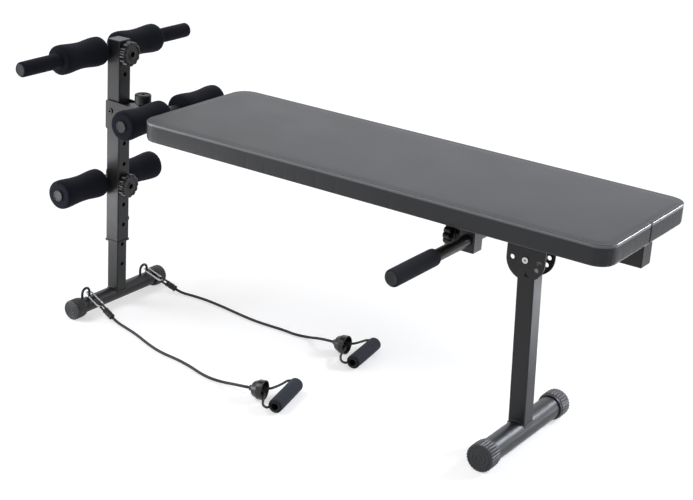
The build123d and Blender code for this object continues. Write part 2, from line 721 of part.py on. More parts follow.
def cord_loop():
    """Loop of the cord's end round the hook, in the upright plane of the cord."""
    bend = HOOK_WIRE_R + LOOP_R + SEAT_GAP
    path = Line((LOOP_LENGTH, 0, bend), (0, 0, bend))
    path += ThreePointArc((0, 0, bend), (-bend, 0, 0), (0, 0, -bend))
    path += Line((0, 0, -bend), (LOOP_LENGTH, 0, -bend))
    return wire_rod(path, LOOP_R)


def cord_sleeve():
    """Sleeve that grips the two strands of the loop and the cord."""
    return Pos(LOOP_LENGTH + SLEEVE_LENGTH / 2, 0, 0) * Rot(0, 90, 0) * Cylinder(SLEEVE_R, SLEEVE_LENGTH)


def spot(frame, x=0, y=0, z=0):
    """Point of a local frame in the part's frame."""
    return tuple((frame * Pos(x, y, z)).position)


def floor_points(points):
    return [(along(x), y, z) for x, y, z in points]


def cord(name):
    """Cord from its sleeve along the floor to the neck of its cup, square to both."""
    sleeve_at = LOOP_LENGTH + SLEEVE_LENGTH
    start = [spot(loop_frame(name), sleeve_at), spot(loop_frame(name), sleeve_at + CORD_EXIT)]
    end = [spot(cup_frame(name), z=-CORD_EXIT), spot(cup_frame(name))]
    return cord_tube("cord_" + name, start + floor_points(CORD_ROUTE[name]) + end, CORD_R)


def cup_frame(name):
    """Frame of a cup: origin at the mouth of its neck, local Z along its axis to the open rim."""
    x, y, z = CUP_NECK_AT[name]
    return Location(Plane((along(x), y, z), x_dir=(0, 0, 1), z_dir=CUP_AIM[name]))


def cord_stop():
    """Bell-shaped stop, hollow from its rim down to a solid floor."""
    outline = Line((0, 0), (CUP_NECK_R, 0))
    outline += Line((CUP_NECK_R, 0), (CUP_NECK_R, CUP_NECK))
    belly = (CUP_NECK_R + CUP_SHOULDER_R) / 2 + CUP_WALL
    half_way = (CUP_NECK + CUP_SHOULDER) / 2 - 1.4 * CUP_WALL
    outline += ThreePointArc((CUP_NECK_R, CUP_NECK), (belly, half_way), (CUP_SHOULDER_R, CUP_SHOULDER))
    outline += Line((CUP_SHOULDER_R, CUP_SHOULDER), (CUP_R, CUP_LENGTH))
    outline += Line((CUP_R, CUP_LENGTH), (CUP_R - CUP_WALL, CUP_LENGTH))
    outline += Line((CUP_R - CUP_WALL, CUP_LENGTH), (CUP_SHOULDER_R - CUP_WALL, CUP_SHOULDER))
    outline += Line((CUP_SHOULDER_R - CUP_WALL, CUP_SHOULDER), (CUP_FLOOR_R, CUP_FLOOR))
    outline += Line((CUP_FLOOR_R, CUP_FLOOR), (0, CUP_FLOOR))
    outline += Line((0, CUP_FLOOR), (0, 0))
    return turned(outline)


def handle_frame(name):
    """Frame of a cord handle lying on the floor, local X along its axis."""
    x, y = HANDLE_AT[name]
    return Pos(along(x), y, FOAM_HANDLE_R) * Rot(0, 0, HANDLE_TURN[name])


def handle_core():
    half = CORE_LENGTH / 2
    return rod_x(CORE_R, -half, half, 0, 0) - rod_x(CORE_BORE_R, -half, half, 0, 0)


def handle_foam():
    length = FOAM_HANDLE_LENGTH
    return Pos(-length / 2, 0, 0) * Rot(0, 90, 0) * foam_grip(FOAM_HANDLE_R, CORE_R, length)


def cord_strap(name):
    """Cord from the floor of the cup, through the handle along the wall of its bore, and back to the cup."""
    cup = cup_frame(name)
    handle = handle_frame(name)
    wall = CORE_BORE_R - STRAP_R - SEAT_GAP
    beside = FOAM_HANDLE_R + STRAP_R + STRAP_BEND / 2
    turn_at = CORE_LENGTH / 2 + STRAP_BEND
    out = [spot(cup, y=CUP_SPREAD, z=CUP_FLOOR), spot(cup, y=CUP_SPREAD, z=CUP_LENGTH + STRAP_R)]
    out += floor_points(STRAP_ROUTE[name]["out"])
    through = [spot(handle, -turn_at, beside), spot(handle, -turn_at, wall)]
    through += [spot(handle, turn_at, wall), spot(handle, turn_at, beside)]
    back = floor_points(STRAP_ROUTE[name]["back"])
    back += [spot(cup, y=-CUP_SPREAD, z=CUP_LENGTH + STRAP_R), spot(cup, y=-CUP_SPREAD, z=CUP_FLOOR)]
    return cord_tube("cord_strap_" + name, out + through + back, STRAP_R)


# Nodes


def side_pair(nodes, label, maker):
    for name, side in SIDES.items():
        nodes[f"{label}_{name}"] = maker(name, side)


def build():
    bar_x = along(BAR_FROM_POST)
    knee_x = along(KNEE_BAR_FROM_POST)
    handle_x = along(HANDLE_FROM_POST)
    rear_x = along(REAR_BASE_FROM_POST)
    roller = foam_roller()

    def roller_at(x, z):
        return lambda name, side: facing(side, x, side * ROLLER_INNER_Y, z) * roller

    def grip_at(r, length, outer_y, x, z):
        grip = foam_grip(r, BAR_R, length)
        return lambda name, side: facing(side, x, side * (outer_y - length), z) * grip

    def post_knob(z):
        return Pos(along(POST_SIDE / 2), 0, z) * Rot(0, 90, 0) * star_knob(STUD_R + RUN_GAP)

    upper_grip = grip_at(UPPER_GRIP_R, UPPER_BAR_HALF - SHORT_BAR_HALF, UPPER_BAR_HALF, bar_x, UPPER_BAR_Z)
    handle_grip = grip_at(HANDLE_GRIP_R, HANDLE_GRIP_LENGTH, HANDLE_BAR_HALF, handle_x, HANDLE_BAR_Z)
    nodes = {
        "front_base_tube": base_tube(FRONT_TUBE_R, FRONT_CAP_R, FRONT_BASE_HALF, POST_X),
        "front_base_caps": base_caps(FRONT_TUBE_R, FRONT_CAP_R, FRONT_BASE_HALF, FRONT_CAP_LENGTH, POST_X),
        "inner_post": inner_post(),
        "wire_eyes": [wire_eye(side) for side in SIDES.values()],
        "outer_post": outer_post(),
        "post_bush": post_bush(),
        "post_top_cap": Pos(POST_X, 0, POST_TOP) * square_plug(POST_SIDE, POST_SIDE, POST_CAP_THICK),
        "height_pin": height_pin(),
        "upper_bar": post_bar(UPPER_BAR_HALF, UPPER_BAR_Z),
        "lower_bar": post_bar(SHORT_BAR_HALF, LOWER_BAR_Z),
        "bar_saddles": [bar_saddle(z) for z in (UPPER_BAR_Z, LOWER_BAR_Z)],
        "post_bar_plugs": bar_plugs(UPPER_BAR_HALF, bar_x, UPPER_BAR_Z)
        + bar_plugs(SHORT_BAR_HALF, bar_x, LOWER_BAR_Z),
        "upper_knob": post_knob(UPPER_BAR_Z),
        "lower_knob": post_knob(LOWER_BAR_Z),
        "front_bracket": front_bracket(),
        "tilt_bolt": pivot_bolt(along(TILT_FROM_POST), TILT_Z, POST_SIDE / 2, PLATE_Y + PLATE),
        "pull_pin": pull_pin(),
        "main_beam": main_beam(),
        "beam_end_cap": beam_end_cap(),
        "knee_bar": knee_bar(),
        "handle_post": handle_post(),
        "handle_bar": cross_tube(HANDLE_BAR_HALF, handle_x, HANDLE_BAR_Z),
        "bench_bar_plugs": bar_plugs(SHORT_BAR_HALF, knee_x, KNEE_BAR_Z)
        + bar_plugs(HANDLE_BAR_HALF, handle_x, HANDLE_BAR_Z),
        "handle_knob": handle_knob(),
        "leg_plates": [leg_plate(side) for side in SIDES.values()],
        "leg_bolt": pivot_bolt(along(LEG_FROM_POST), LEG_PIVOT_Z, LEG_SIDE / 2, BEAM_WIDTH / 2 + PLATE),
        "pad_cushion": pad_cushion(),
        "pad_board": pad_board(),
        "pad_cross_bars": cross_bars(),
        "pad_bolts": pad_bolts(),
        "rear_leg": rear_leg(),
        "leg_lock_pin": leg_lock_pin(),
        "rear_base_tube": base_tube(REAR_TUBE_R, REAR_CAP_R, REAR_BASE_HALF, rear_x),
        "rear_base_caps": base_caps(REAR_TUBE_R, REAR_CAP_R, REAR_BASE_HALF, REAR_CAP_LENGTH, rear_x),
        "cord_loops": [loop_frame(name) * cord_loop() for name in SIDES],
        "cord_sleeves": [loop_frame(name) * cord_sleeve() for name in SIDES],
    }
    side_pair(nodes, "upper_roller", roller_at(bar_x, UPPER_BAR_Z))
    side_pair(nodes, "lower_roller", roller_at(bar_x, LOWER_BAR_Z))
    side_pair(nodes, "knee_roller", roller_at(knee_x, KNEE_BAR_Z))
    side_pair(nodes, "upper_grip", upper_grip)
    side_pair(nodes, "handle_grip", handle_grip)
    side_pair(nodes, "hook", lambda name, side: hook_frame(name) * hook_body())
    side_pair(nodes, "hook_gate", lambda name, side: hook_frame(name) * hook_gate())
    side_pair(nodes, "cord", lambda name, side: cord(name))
    side_pair(nodes, "cord_stop", lambda name, side: cup_frame(name) * cord_stop())
    side_pair(nodes, "cord_strap", lambda name, side: cord_strap(name))
    side_pair(nodes, "cord_handle_core", lambda name, side: handle_frame(name) * handle_core())
    side_pair(nodes, "cord_handle_foam", lambda name, side: handle_frame(name) * handle_foam())
    return nodes


os.makedirs("parts", exist_ok=True)
for node, shape in build().items():
    solids = shape if isinstance(shape, list) else [shape]
    export_step(Compound(children=solids) if len(solids) > 1 else solids[0], f"parts/{node}.step")
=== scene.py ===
import json
import math

import bmesh
import bpy
from mathutils import Matrix, Vector


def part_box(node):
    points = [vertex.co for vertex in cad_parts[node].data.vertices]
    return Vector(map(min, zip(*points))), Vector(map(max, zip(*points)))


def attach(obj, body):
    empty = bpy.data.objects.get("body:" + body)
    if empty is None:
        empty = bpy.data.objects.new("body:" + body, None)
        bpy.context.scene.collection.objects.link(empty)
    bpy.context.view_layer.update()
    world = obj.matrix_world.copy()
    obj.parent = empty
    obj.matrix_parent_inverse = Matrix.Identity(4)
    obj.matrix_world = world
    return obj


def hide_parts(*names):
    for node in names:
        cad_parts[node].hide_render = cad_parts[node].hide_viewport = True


# Sit-up bench with leg rollers, push-up bar and two pull cords, in metres, near side is -Y
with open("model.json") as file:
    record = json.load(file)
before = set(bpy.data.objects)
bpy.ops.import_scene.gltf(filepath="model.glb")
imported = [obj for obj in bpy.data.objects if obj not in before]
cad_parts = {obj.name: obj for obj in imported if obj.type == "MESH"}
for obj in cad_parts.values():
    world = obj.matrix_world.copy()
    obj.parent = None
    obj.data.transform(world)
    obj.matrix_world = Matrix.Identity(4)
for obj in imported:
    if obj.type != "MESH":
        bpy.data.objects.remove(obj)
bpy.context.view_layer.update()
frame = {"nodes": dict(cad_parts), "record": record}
nodes = frame["nodes"]
scene = bpy.context.scene
scene.view_settings.view_transform = "Standard"
sides = {"near": -1, "far": 1}
print("frame loaded,", len(nodes), "nodes")

# Camera
viewpoint = {"place": (1.77335, -2.69475, 1.53605), "turn": (68.9967, -3.4272, 34.4001), "lens": 83.737}


def aimCamera(view):
    turn = [math.radians(angle) for angle in view["turn"]]
    bpy.ops.object.camera_add(location=view["place"], rotation=turn)
    camera = bpy.context.object
    camera.data.lens = view["lens"]
    camera.data.sensor_fit = "HORIZONTAL"
    scene.camera = camera


aimCamera(viewpoint)


# Shader graphs: a Wire is a socket that can stand in a sum
class Wire:
    def __init__(self, graph, socket):
        self.graph = graph
        self.socket = socket

    def maths(self, operation, first, second):
        return self.graph.node("ShaderNodeMath", {"operation": operation}, {0: first, 1: second})

    def __add__(self, other):
        return self.maths("ADD", self, other)

    def __sub__(self, other):
        return self.maths("SUBTRACT", self, other)

    def __rsub__(self, other):
        return self.maths("SUBTRACT", other, self)

    def __mul__(self, other):
        return self.maths("MULTIPLY", self, other)

    __radd__ = __add__
    __rmul__ = __mul__


class Graph:
    def __init__(self, tree):
        self.tree = tree

    def node(self, kind, settings, sockets, output=0):
        made = self.tree.nodes.new(kind)
        for label, value in settings.items():
            if label == "stops":
                self.setStops(made.color_ramp.elements, value)
            else:
                setattr(made, label, value)
        for label, value in sockets.items():
            self.feed(made.inputs[label], value)
        return Wire(self, made.outputs[output])

    def setStops(self, elements, stops):
        while len(elements) < len(stops):
            elements.new(1.0)
        for element, (position, value) in zip(elements, stops):
            element.position = position
            element.color = (value, value, value, 1)

    def feed(self, socket, value):
        if isinstance(value, Wire):
            self.tree.links.new(value.socket, socket)
        else:
            socket.default_value = value

    def noise(self, scale, detail=2.0, rough=0.5):
        sockets = {"Vector": self.place, "Scale": scale, "Detail": detail, "Roughness": rough}
        return self.node("ShaderNodeTexNoise", {}, sockets)

    def cells(self, scale, feature="F1"):
        return self.node("ShaderNodeTexVoronoi", {"feature": feature}, {"Vector": self.place, "Scale": scale})

    def ramp(self, value, *stops):
        return self.node("ShaderNodeValToRGB", {"stops": stops}, {"Fac": value})

    def blend(self, share, first, second):
        return self.node("ShaderNodeMix", {"data_type": "RGBA"}, {0: share, 6: first, 7: second}, 2)

    def tint(self, share, first, second):
        return self.blend(share, (*first, 1), (*second, 1))

    def bump(self, height, strength, depth):
        return self.node("ShaderNodeBump", {}, {"Height": height, "Strength": strength, "Distance": depth})


class Paint(Graph):
    def __init__(self, name, fixed):
        self.material = bpy.data.materials.new(name)
        self.material.use_nodes = True
        super().__init__(self.material.node_tree)
        self.shader = self.tree.nodes["Principled BSDF"]
        self.place = self.node("ShaderNodeTexCoord", {}, {}, "Object")
        self.coat(fixed)

    def coat(self, sockets):
        for label, value in sockets.items():
            self.feed(self.shader.inputs[label], value)
        return self.material


# Finishes
def foamSkin(name, dark, pale):
    look = {"cell": 620.0, "dents": 60.0}
    paint = Paint(name, {"Specular IOR Level": 0.12, "Sheen Weight": 0.06, "Sheen Roughness": 0.5,
                         "Sheen Tint": (0.7, 0.75, 0.9, 1)})
    pores = paint.cells(look["cell"])
    dents = paint.noise(look["dents"], 4.0, 0.6)
    grain = paint.noise(look["cell"] * 1.7, 2.0)
    return paint.coat({
        "Base Color": paint.tint(0.55 * dents + 0.45 * pores, dark, pale),
        "Roughness": 0.82 + 0.14 * dents,
        "Normal": paint.bump(0.6 * pores + 0.4 * grain, 0.55, 0.0006),
    })


def leatherette():  # shinier where the cover is stretched over the pad's upper edge, and a painted highlight makes its colour paler there
    look = {"dark": (0.024, 0.0245, 0.027), "pale": (0.034, 0.0345, 0.0375), "grain": 620.0, "patch": 7.0,
            "paintedHighlight": (0.125, 0.128, 0.14), "edgeFoot": 0.5274, "edgeHeight": 0.01}
    paint = Paint("blackLeatherette", {"Specular IOR Level": 0.25, "Coat Roughness": 0.2})
    creases = paint.ramp(paint.cells(look["grain"], "SMOOTH_F1"), (0.15, 0.0), (0.75, 1.0))
    fine = paint.noise(look["grain"] * 2.2, 3.0, 0.6)
    patches = paint.noise(look["patch"], 4.0, 0.55)
    height = paint.node("ShaderNodeSeparateXYZ", {}, {"Vector": paint.place}, 2)
    upEdge = (height - look["edgeFoot"]) * (1 / look["edgeHeight"])
    # band along the upper edge: real extra gloss in roughness and coat, plus a painted highlight as a paler
    # base colour
    edgeGlossAndPaintedHighlight = paint.ramp(upEdge, (0.35, 0.0), (0.62, 1.0), (0.93, 1.0), (1.0, 0.0))
    skin = paint.tint(patches, look["dark"], look["pale"])
    return paint.coat({
        "Base Color": paint.blend(edgeGlossAndPaintedHighlight, skin, (*look["paintedHighlight"], 1)),
        "Roughness": 0.36 + 0.12 * patches + 0.05 * fine - 0.16 * edgeGlossAndPaintedHighlight,
        "Coat Weight": 0.8 * edgeGlossAndPaintedHighlight,
        "Normal": paint.bump(0.75 * (1 - creases) + 0.25 * fine, 0.4, 0.00035),
    })


def evenCoat(name, dark, pale, rough, shine, patch=30.0, swing=0.12, grain=1300.0, grainRough=0.6,
             bump=0.25, depth=0.00025):  # moulded plastic, unless told otherwise
    paint = Paint(name, {"Specular IOR Level": shine})
    patches = paint.noise(patch, 3.0)
    texture = paint.noise(grain, 2.0, grainRough)
    return paint.coat({
        "Base Color": paint.tint(patches, dark, pale),
        "Roughness": rough + swing * (patches - 0.5),
        "Normal": paint.bump(texture, bump, depth),
    })


def platedSteel(name, dark, pale, rough):
    paint = Paint(name, {"Metallic": 1.0})
    cloud = paint.noise(160.0, 4.0, 0.6)
    scratch = paint.noise(1800.0, 2.0)
    return paint.coat({
        "Base Color": paint.tint(cloud, dark, pale),
        "Roughness": rough + 0.16 * (cloud - 0.5) + 0.05 * scratch,
        "Normal": paint.bump(scratch, 0.12, 0.0001),
    })


def plyBoard():
    look = {"late": (0.19, 0.105, 0.05), "early": (0.40, 0.27, 0.15), "rings": 11.0}
    paint = Paint("plyBoard", {"Specular IOR Level": 0.35})
    stretch = paint.node("ShaderNodeMapping", {}, {"Vector": paint.place, "Scale": (0.12, 1.0, 1.0)})
    grain = paint.node("ShaderNodeTexWave", {}, {
        "Vector": stretch, "Scale": look["rings"], "Distortion": 5.0, "Detail": 3.0, "Detail Scale": 1.6,
    })
    fibre = paint.noise(420.0, 3.0, 0.7)
    return paint.coat({
        "Base Color": paint.tint(0.7 * grain + 0.3 * fibre, look["late"], look["early"]),
        "Roughness": 0.62 + 0.2 * fibre,
        "Normal": paint.bump(fibre, 0.3, 0.0003),
    })


peel = {"grainRough": 0.5, "bump": 0.3, "depth": 0.0002}
paints = {
    "black_steel": evenCoat("blackPowderCoat", (0.0105, 0.0108, 0.0118), (0.016, 0.0164, 0.0176),
                            rough=0.4, shine=0.32, patch=24.0, swing=0.14, grain=900.0, **peel),
    "zinc_steel": platedSteel("zincPlate", (0.44, 0.44, 0.45), (0.66, 0.66, 0.68), 0.26),
    "foam": foamSkin("softBlackFoam", (0.0058, 0.0062, 0.0104), (0.0115, 0.0122, 0.019)),
    "black_plastic": evenCoat("blackPlastic", (0.0085, 0.0087, 0.0098), (0.014, 0.0143, 0.0158),
                              rough=0.4, shine=0.3),
    "grey_plastic": evenCoat("greyPlastic", (0.019, 0.0194, 0.021), (0.027, 0.0275, 0.0295),
                             rough=0.5, shine=0.25),
    "gloss_black": evenCoat("glossBlackPlastic", (0.01, 0.0103, 0.0112), (0.0155, 0.0158, 0.0168),
                            rough=0.3, shine=0.45, grain=500.0),
    "elastic_cord": evenCoat("blackElastic", (0.007, 0.007, 0.0075), (0.013, 0.013, 0.0135),
                             rough=0.5, shine=0.3, patch=90.0, swing=0.16, grain=2200.0, **peel),
    "vinyl": leatherette(),
    "plywood": plyBoard(),
}
gripFoam = foamSkin("firmGripFoam", (0.025, 0.027, 0.033), (0.043, 0.0465, 0.055))
capPlastic = evenCoat("greyBlackPlastic", (0.019, 0.0194, 0.0215), (0.029, 0.0297, 0.0325),
                      rough=0.42, shine=0.35)
knobPlastic = evenCoat("knobPlastic", (0.0045, 0.0046, 0.0056), (0.0085, 0.0087, 0.01),
                       rough=0.26, shine=0.34)
blackBolt = platedSteel("blackBolt", (0.035, 0.035, 0.038), (0.07, 0.07, 0.074), 0.42)
repainted = {"leg_lock_pin": blackBolt, "tilt_bolt": paints["black_steel"]}
slotOf = {row["node"]: row["material_slot"] for row in frame["record"]["subparts"]}
for name, node in nodes.items():
    for holder in node.material_slots:
        holder.material = repainted.get(name, paints[slotOf[name]])
print("finishes ready,", len(paints))

# Studio: pale floor, soft lamps, white to the camera and to reflections
studio = {"floorSize": 40.0, "floorColour": 0.6, "floorGlow": 0.55, "skyLight": 0.44}
lamps = [
    {"kind": "SUN", "place": (-2.0, -1.25, 3.3), "aim": (0.0, 0.0, 0.3), "energy": 1.3, "spread": 30.0,
     "colour": (0.95, 0.96, 1.0)},
    {"kind": "AREA", "place": (-1.3, -0.78, 0.16), "aim": (-0.63, -0.02, 0.22), "energy": 1.9,
     "size": (0.7, 0.32), "colour": (0.97, 0.98, 1.0)},
    {"kind": "AREA", "place": (-1.05, -0.5, 0.06), "aim": (-0.63, -0.02, 0.12), "energy": 2.4,
     "size": (0.55, 0.12), "colour": (0.97, 0.98, 1.0)},
    {"kind": "AREA", "place": (-1.9, -1.5, 0.5), "aim": (-0.4, 0.0, 0.35), "energy": 7.0,
     "size": (1.2, 0.9), "colour": (0.97, 0.98, 1.0)},
    {"kind": "AREA", "place": (1.27, 1.4, 1.15), "aim": (0.5, -0.05, 0.2), "energy": 3.6,
     "size": (0.62, 0.42), "colour": (0.85, 0.89, 1.0), "spread": 50.0},
    {"kind": "AREA", "place": (0.87, 0.62, 0.05), "aim": (0.48, 0.0, 0.12), "energy": 0.9,
     "size": (0.45, 0.09), "colour": (0.93, 0.95, 1.0)},
    {"kind": "AREA", "place": (-1.55, 2.7, 1.55), "aim": (0.0, 0.0, 0.5), "energy": 10.5,
     "size": (2.8, 1.2), "colour": (0.88, 0.91, 1.0)},
]


def seenShare(graph):
    path = {label: graph.node("ShaderNodeLightPath", {}, {}, label)
            for label in ("Is Camera Ray", "Is Glossy Ray", "Is Transmission Ray")}
    return path["Is Camera Ray"] + path["Is Glossy Ray"] + path["Is Transmission Ray"]


def layFloor(look):
    bpy.ops.mesh.primitive_plane_add(size=look["floorSize"])
    floor = bpy.context.object
    floor.name = "floor"
    paint = Paint("paleFloor", {"Base Color": (*[look["floorColour"]] * 3, 1), "Roughness": 1.0,
                                "Specular IOR Level": 0.0, "Emission Strength": 1.0})
    paint.coat({"Emission Color": look["floorGlow"] * seenShare(paint)})
    floor.data.materials.append(paint.material)


def lightSky(look):
    world = bpy.data.worlds.new("paleSky")
    world.use_nodes = True
    scene.world = world
    graph = Graph(world.node_tree)
    sky = world.node_tree.nodes["Background"]
    graph.feed(sky.inputs["Color"], look["skyLight"] + (1 - look["skyLight"]) * seenShare(graph))


def hangLamp(lamp):
    bpy.ops.object.light_add(type=lamp["kind"], location=lamp["place"])
    light = bpy.context.object
    ray = Vector(lamp["aim"]) - Vector(lamp["place"])
    light.rotation_euler = ray.to_track_quat("-Z", "Y").to_euler()
    light.data.energy = lamp["energy"]
    light.data.color = lamp["colour"]
    if lamp["kind"] == "SUN":
        light.data.angle = math.radians(lamp["spread"])
    else:
        light.data.shape = "RECTANGLE"
        light.data.size, light.data.size_y = lamp["size"]
        light.data.spread = math.radians(lamp.get("spread", 180.0))
        light.visible_camera = False


layFloor(studio)
lightSky(studio)
for lamp in lamps:
    hangLamp(lamp)
print("studio lit,", len(lamps), "lamps")


# Tools for modelling
def setMode(mode):
    bpy.ops.object.mode_set(mode=mode)


def clearSelection():
    if bpy.context.object and bpy.context.object.mode != "OBJECT":
        setMode("OBJECT")
    bpy.ops.object.select_all(action="DESELECT")


def takePiece(piece):
    clearSelection()
    piece.select_set(True)
    bpy.context.view_layer.objects.active = piece


def startMesh(name, addShape, size=1):  # a new piece, left in edit mode
    clearSelection()
    addShape(size=size)
    piece = bpy.context.object
    piece.name = name
    setMode("EDIT")
    return piece


def pick(piece, kind, test):  # edit mode: selects the verts, edges or faces that pass
    bpy.ops.mesh.select_mode(type=kind)
    bpy.ops.mesh.select_all(action="DESELECT")
    mesh = bmesh.from_edit_mesh(piece.data)
    for part in {"VERT": mesh.verts, "EDGE": mesh.edges, "FACE": mesh.faces}[kind]:
        if test(part):
            part.select_set(True)
    mesh.select_flush_mode()
    bmesh.update_edit_mesh(piece.data)


def smoothShade(piece, angle=38.0):
    takePiece(piece)
    bpy.ops.object.shade_smooth_by_angle(angle=math.radians(angle))


def applyModifiers(piece):
    takePiece(piece)
    for modifier in list(piece.modifiers):
        bpy.ops.object.modifier_apply(modifier=modifier.name)


def copyPiece(piece, name):
    twin = piece.copy()
    twin.data = piece.data.copy()
    twin.name = name
    scene.collection.objects.link(twin)
    return twin


def turnAbout(axis, angle):
    return Matrix.Rotation(math.radians(angle), 4, axis)


def standAt(piece, place, axis):  # a piece made round Z goes to its place with Z along the axis
    turn = Vector(axis).to_track_quat("Z", "Y").to_matrix().to_4x4()
    piece.matrix_world = Matrix.Translation(place) @ turn
    takePiece(piece)
    bpy.ops.object.transform_apply(location=True, rotation=True, scale=True)
    return piece


def softOutline(corners, closed=True, steps=5):  # (radius, height, rounding) corners, rounded ones as arcs
    outline = []
    for index, corner in enumerate(corners):
        here = Vector(corner[:2])
        if len(corner) < 3:
            outline.append(here)
            continue
        back = (Vector(corners[index - 1][:2]) - here).normalized()
        ahead = (Vector(corners[(index + 1) % len(corners)][:2]) - here).normalized()
        half = back.angle(ahead) / 2
        middle = here + (back + ahead).normalized() * corner[2] / math.sin(half)
        start = here + back * corner[2] / math.tan(half) - middle
        end = here + ahead * corner[2] / math.tan(half) - middle
        sweep = start.angle_signed(end)
        for step in range(steps + 1):
            angle = sweep * step / steps
            outline.append(middle + Matrix.Rotation(-angle, 2) @ start)
    return outline + outline[:1] if closed else outline


def turnOutline(name, outline, steps):  # extrudes the outline point by point and spins it round Z
    piece = startMesh(name, bpy.ops.mesh.primitive_plane_add, 0.001)
    bpy.ops.mesh.select_mode(type="VERT")
    bpy.ops.mesh.merge(type="CENTER")
    bpy.ops.transform.translate(value=(outline[0].x, 0, outline[0].y))
    for here, there in zip(outline, outline[1:]):
        step = (there.x - here.x, 0, there.y - here.y)
        bpy.ops.mesh.extrude_vertices_move(TRANSFORM_OT_translate={"value": step})
    bpy.ops.mesh.select_all(action="SELECT")
    bpy.ops.mesh.spin(steps=steps, angle=2 * math.pi, center=(0, 0, 0), axis=(0, 0, 1))
    bpy.ops.mesh.select_all(action="SELECT")
    bpy.ops.mesh.remove_doubles(threshold=1e-6)
    bpy.ops.mesh.normals_make_consistent(inside=False)
    setMode("OBJECT")
    smoothShade(piece)
    return piece


def drawLobes(piece, count, depth, fromRadius, heights, power):  # pulls the rim in between its lobes or ribs
    rim = max(math.hypot(vert.co.x, vert.co.y) for vert in piece.data.vertices)
    for vert in piece.data.vertices:
        radius = math.hypot(vert.co.x, vert.co.y)
        if radius < fromRadius or not heights[0] <= vert.co.z <= heights[1]:
            continue
        wave = abs(math.cos(count * math.atan2(vert.co.y, vert.co.x) / 2)) ** power
        share = (radius - fromRadius) / (rim - fromRadius)
        pull = 1 - depth * (1 - wave) * share / radius
        vert.co.x *= pull
        vert.co.y *= pull


def drawCurve(name, kind, points, radius, roundness):
    curve = bpy.data.curves.new(name, "CURVE")
    curve.dimensions = "3D"
    curve.bevel_depth = radius
    curve.bevel_resolution = roundness
    spline = curve.splines.new(kind)
    spline.points.add(len(points) - 1)
    for point, place in zip(spline.points, points):
        point.co = (*place, 1)
    piece = bpy.data.objects.new(name, curve)
    scene.collection.objects.link(piece)
    return piece


def handOver(piece, body, slot, *stoodFor, paint=None):  # its slot's finish, unless another is given
    piece.data.materials.clear()
    piece.data.materials.append(paint or paints[slot])
    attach(piece, body)
    if stoodFor:
        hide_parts(*stoodFor)
    return piece


def middleOf(node):
    low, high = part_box(node)
    return (low + high) / 2


postX = middleOf("outer_post").x
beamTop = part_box("main_beam")[1].z
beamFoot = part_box("main_beam")[0].z

# Pull cords: end loop round the hook, sleeve, cord, dome-shaped stop, strap through the handle
cordSizes = {
    "cordRadius": 0.00325, "loopRadius": 0.0025, "strapRadius": 0.00275,
    "eyeHalf": 0.012, "eyeWire": 0.003, "hookHeight": 0.048, "hookWire": 0.002, "hookBend": 0.009,
    "hookSpan": 0.0335, "hookSlope": 24.0, "sleeveSlope": 25.0, "seatGap": 0.0003,
    "loopLength": 0.014, "sleeveLength": 0.028, "cordExit": 0.015,
    "cupFloor": 0.014, "cupLength": 0.036, "cupSpread": 0.007,
    "handleHeight": 0.0165, "coreHalf": 0.062, "coreBore": 0.008, "strapBend": 0.009,
    "foamHalf": 0.060, "foamBore": 0.0111, "eyeLength": 0.043,
}
cordRoutes = {
    "near": {
        "eyeY": -0.108, "hookTurn": -5.0,
        "route": [(0.120, -0.110, 0.0036), (0.170, -0.1235, 0.0035), (0.226, -0.1465, 0.0035),
                  (0.276, -0.1615, 0.0035), (0.326, -0.165, 0.0035), (0.372, -0.174, 0.0035),
                  (0.412, -0.187, 0.0035), (0.446, -0.192, 0.0035), (0.480, -0.1905, 0.005),
                  (0.512, -0.1955, 0.0125)],
        "neck": (0.5565, -0.1987, 0.0205), "aim": (0.0975, 0.0215, 0.0045),
        "handle": (0.632, -0.171), "handleTurn": 104.0,
        "strapOut": [(0.606, -0.216, 0.016)], "strapBack": [(0.594, -0.128, 0.017), (0.596, -0.158, 0.020)],
        "cordLength": 0.493, "strapLength": 0.345,
    },
    "far": {
        "eyeY": 0.096, "hookTurn": 15.0,
        "route": [(0.119, 0.1395, 0.0036), (0.164, 0.1415, 0.0035), (0.218, 0.1355, 0.0035),
                  (0.272, 0.127, 0.0035), (0.322, 0.1205, 0.0035), (0.366, 0.121, 0.0035),
                  (0.408, 0.1235, 0.0035), (0.444, 0.1205, 0.0035), (0.479, 0.127, 0.0045),
                  (0.512, 0.126, 0.012)],
        "neck": (0.556, 0.116, 0.0205), "aim": (0.0996, 0.0072, 0.0045),
        "handle": (0.637, 0.120), "handleTurn": 99.0,
        "strapOut": [(0.599, 0.091, 0.018), (0.605, 0.072, 0.016)], "strapBack": [(0.601, 0.154, 0.020)],
        "cordLength": 0.487, "strapLength": 0.346,
    },
}


def offPost(points):  # points measured from the post's axis
    return [Vector((postX + x, y, z)) for x, y, z in points]


def loopFrame(lay):  # origin in the hook's lower bend, X down the cord
    size = cordSizes
    ring = Matrix.Translation((postX, lay["eyeY"] + size["eyeHalf"], size["hookHeight"]))
    apart = size["eyeWire"] + size["hookWire"] + size["seatGap"]
    behind = apart / math.cos(math.radians(size["hookSlope"]))
    hook = ring @ turnAbout("Z", lay["hookTurn"]) @ turnAbout("Y", size["hookSlope"])
    reach = size["hookSpan"] + 2 * size["hookBend"] - behind
    lower = hook @ Vector((reach, 0, 0))
    return Matrix.Translation(lower) @ turnAbout("Z", lay["hookTurn"]) @ turnAbout("Y", size["sleeveSlope"])


def cupFrame(lay):  # origin at the mouth of the neck, Z along the axis to the rim
    ahead = Vector(lay["aim"]).normalized()
    up = (Vector((0, 0, 1)) - ahead * ahead.z).normalized()
    across = ahead.cross(up)
    turn = Matrix((up, across, ahead)).transposed().to_4x4()
    return Matrix.Translation(offPost([lay["neck"]])[0]) @ turn


def handleFrame(lay):
    place = offPost([(*lay["handle"], cordSizes["handleHeight"])])[0]
    return Matrix.Translation(place) @ turnAbout("Z", lay["handleTurn"])


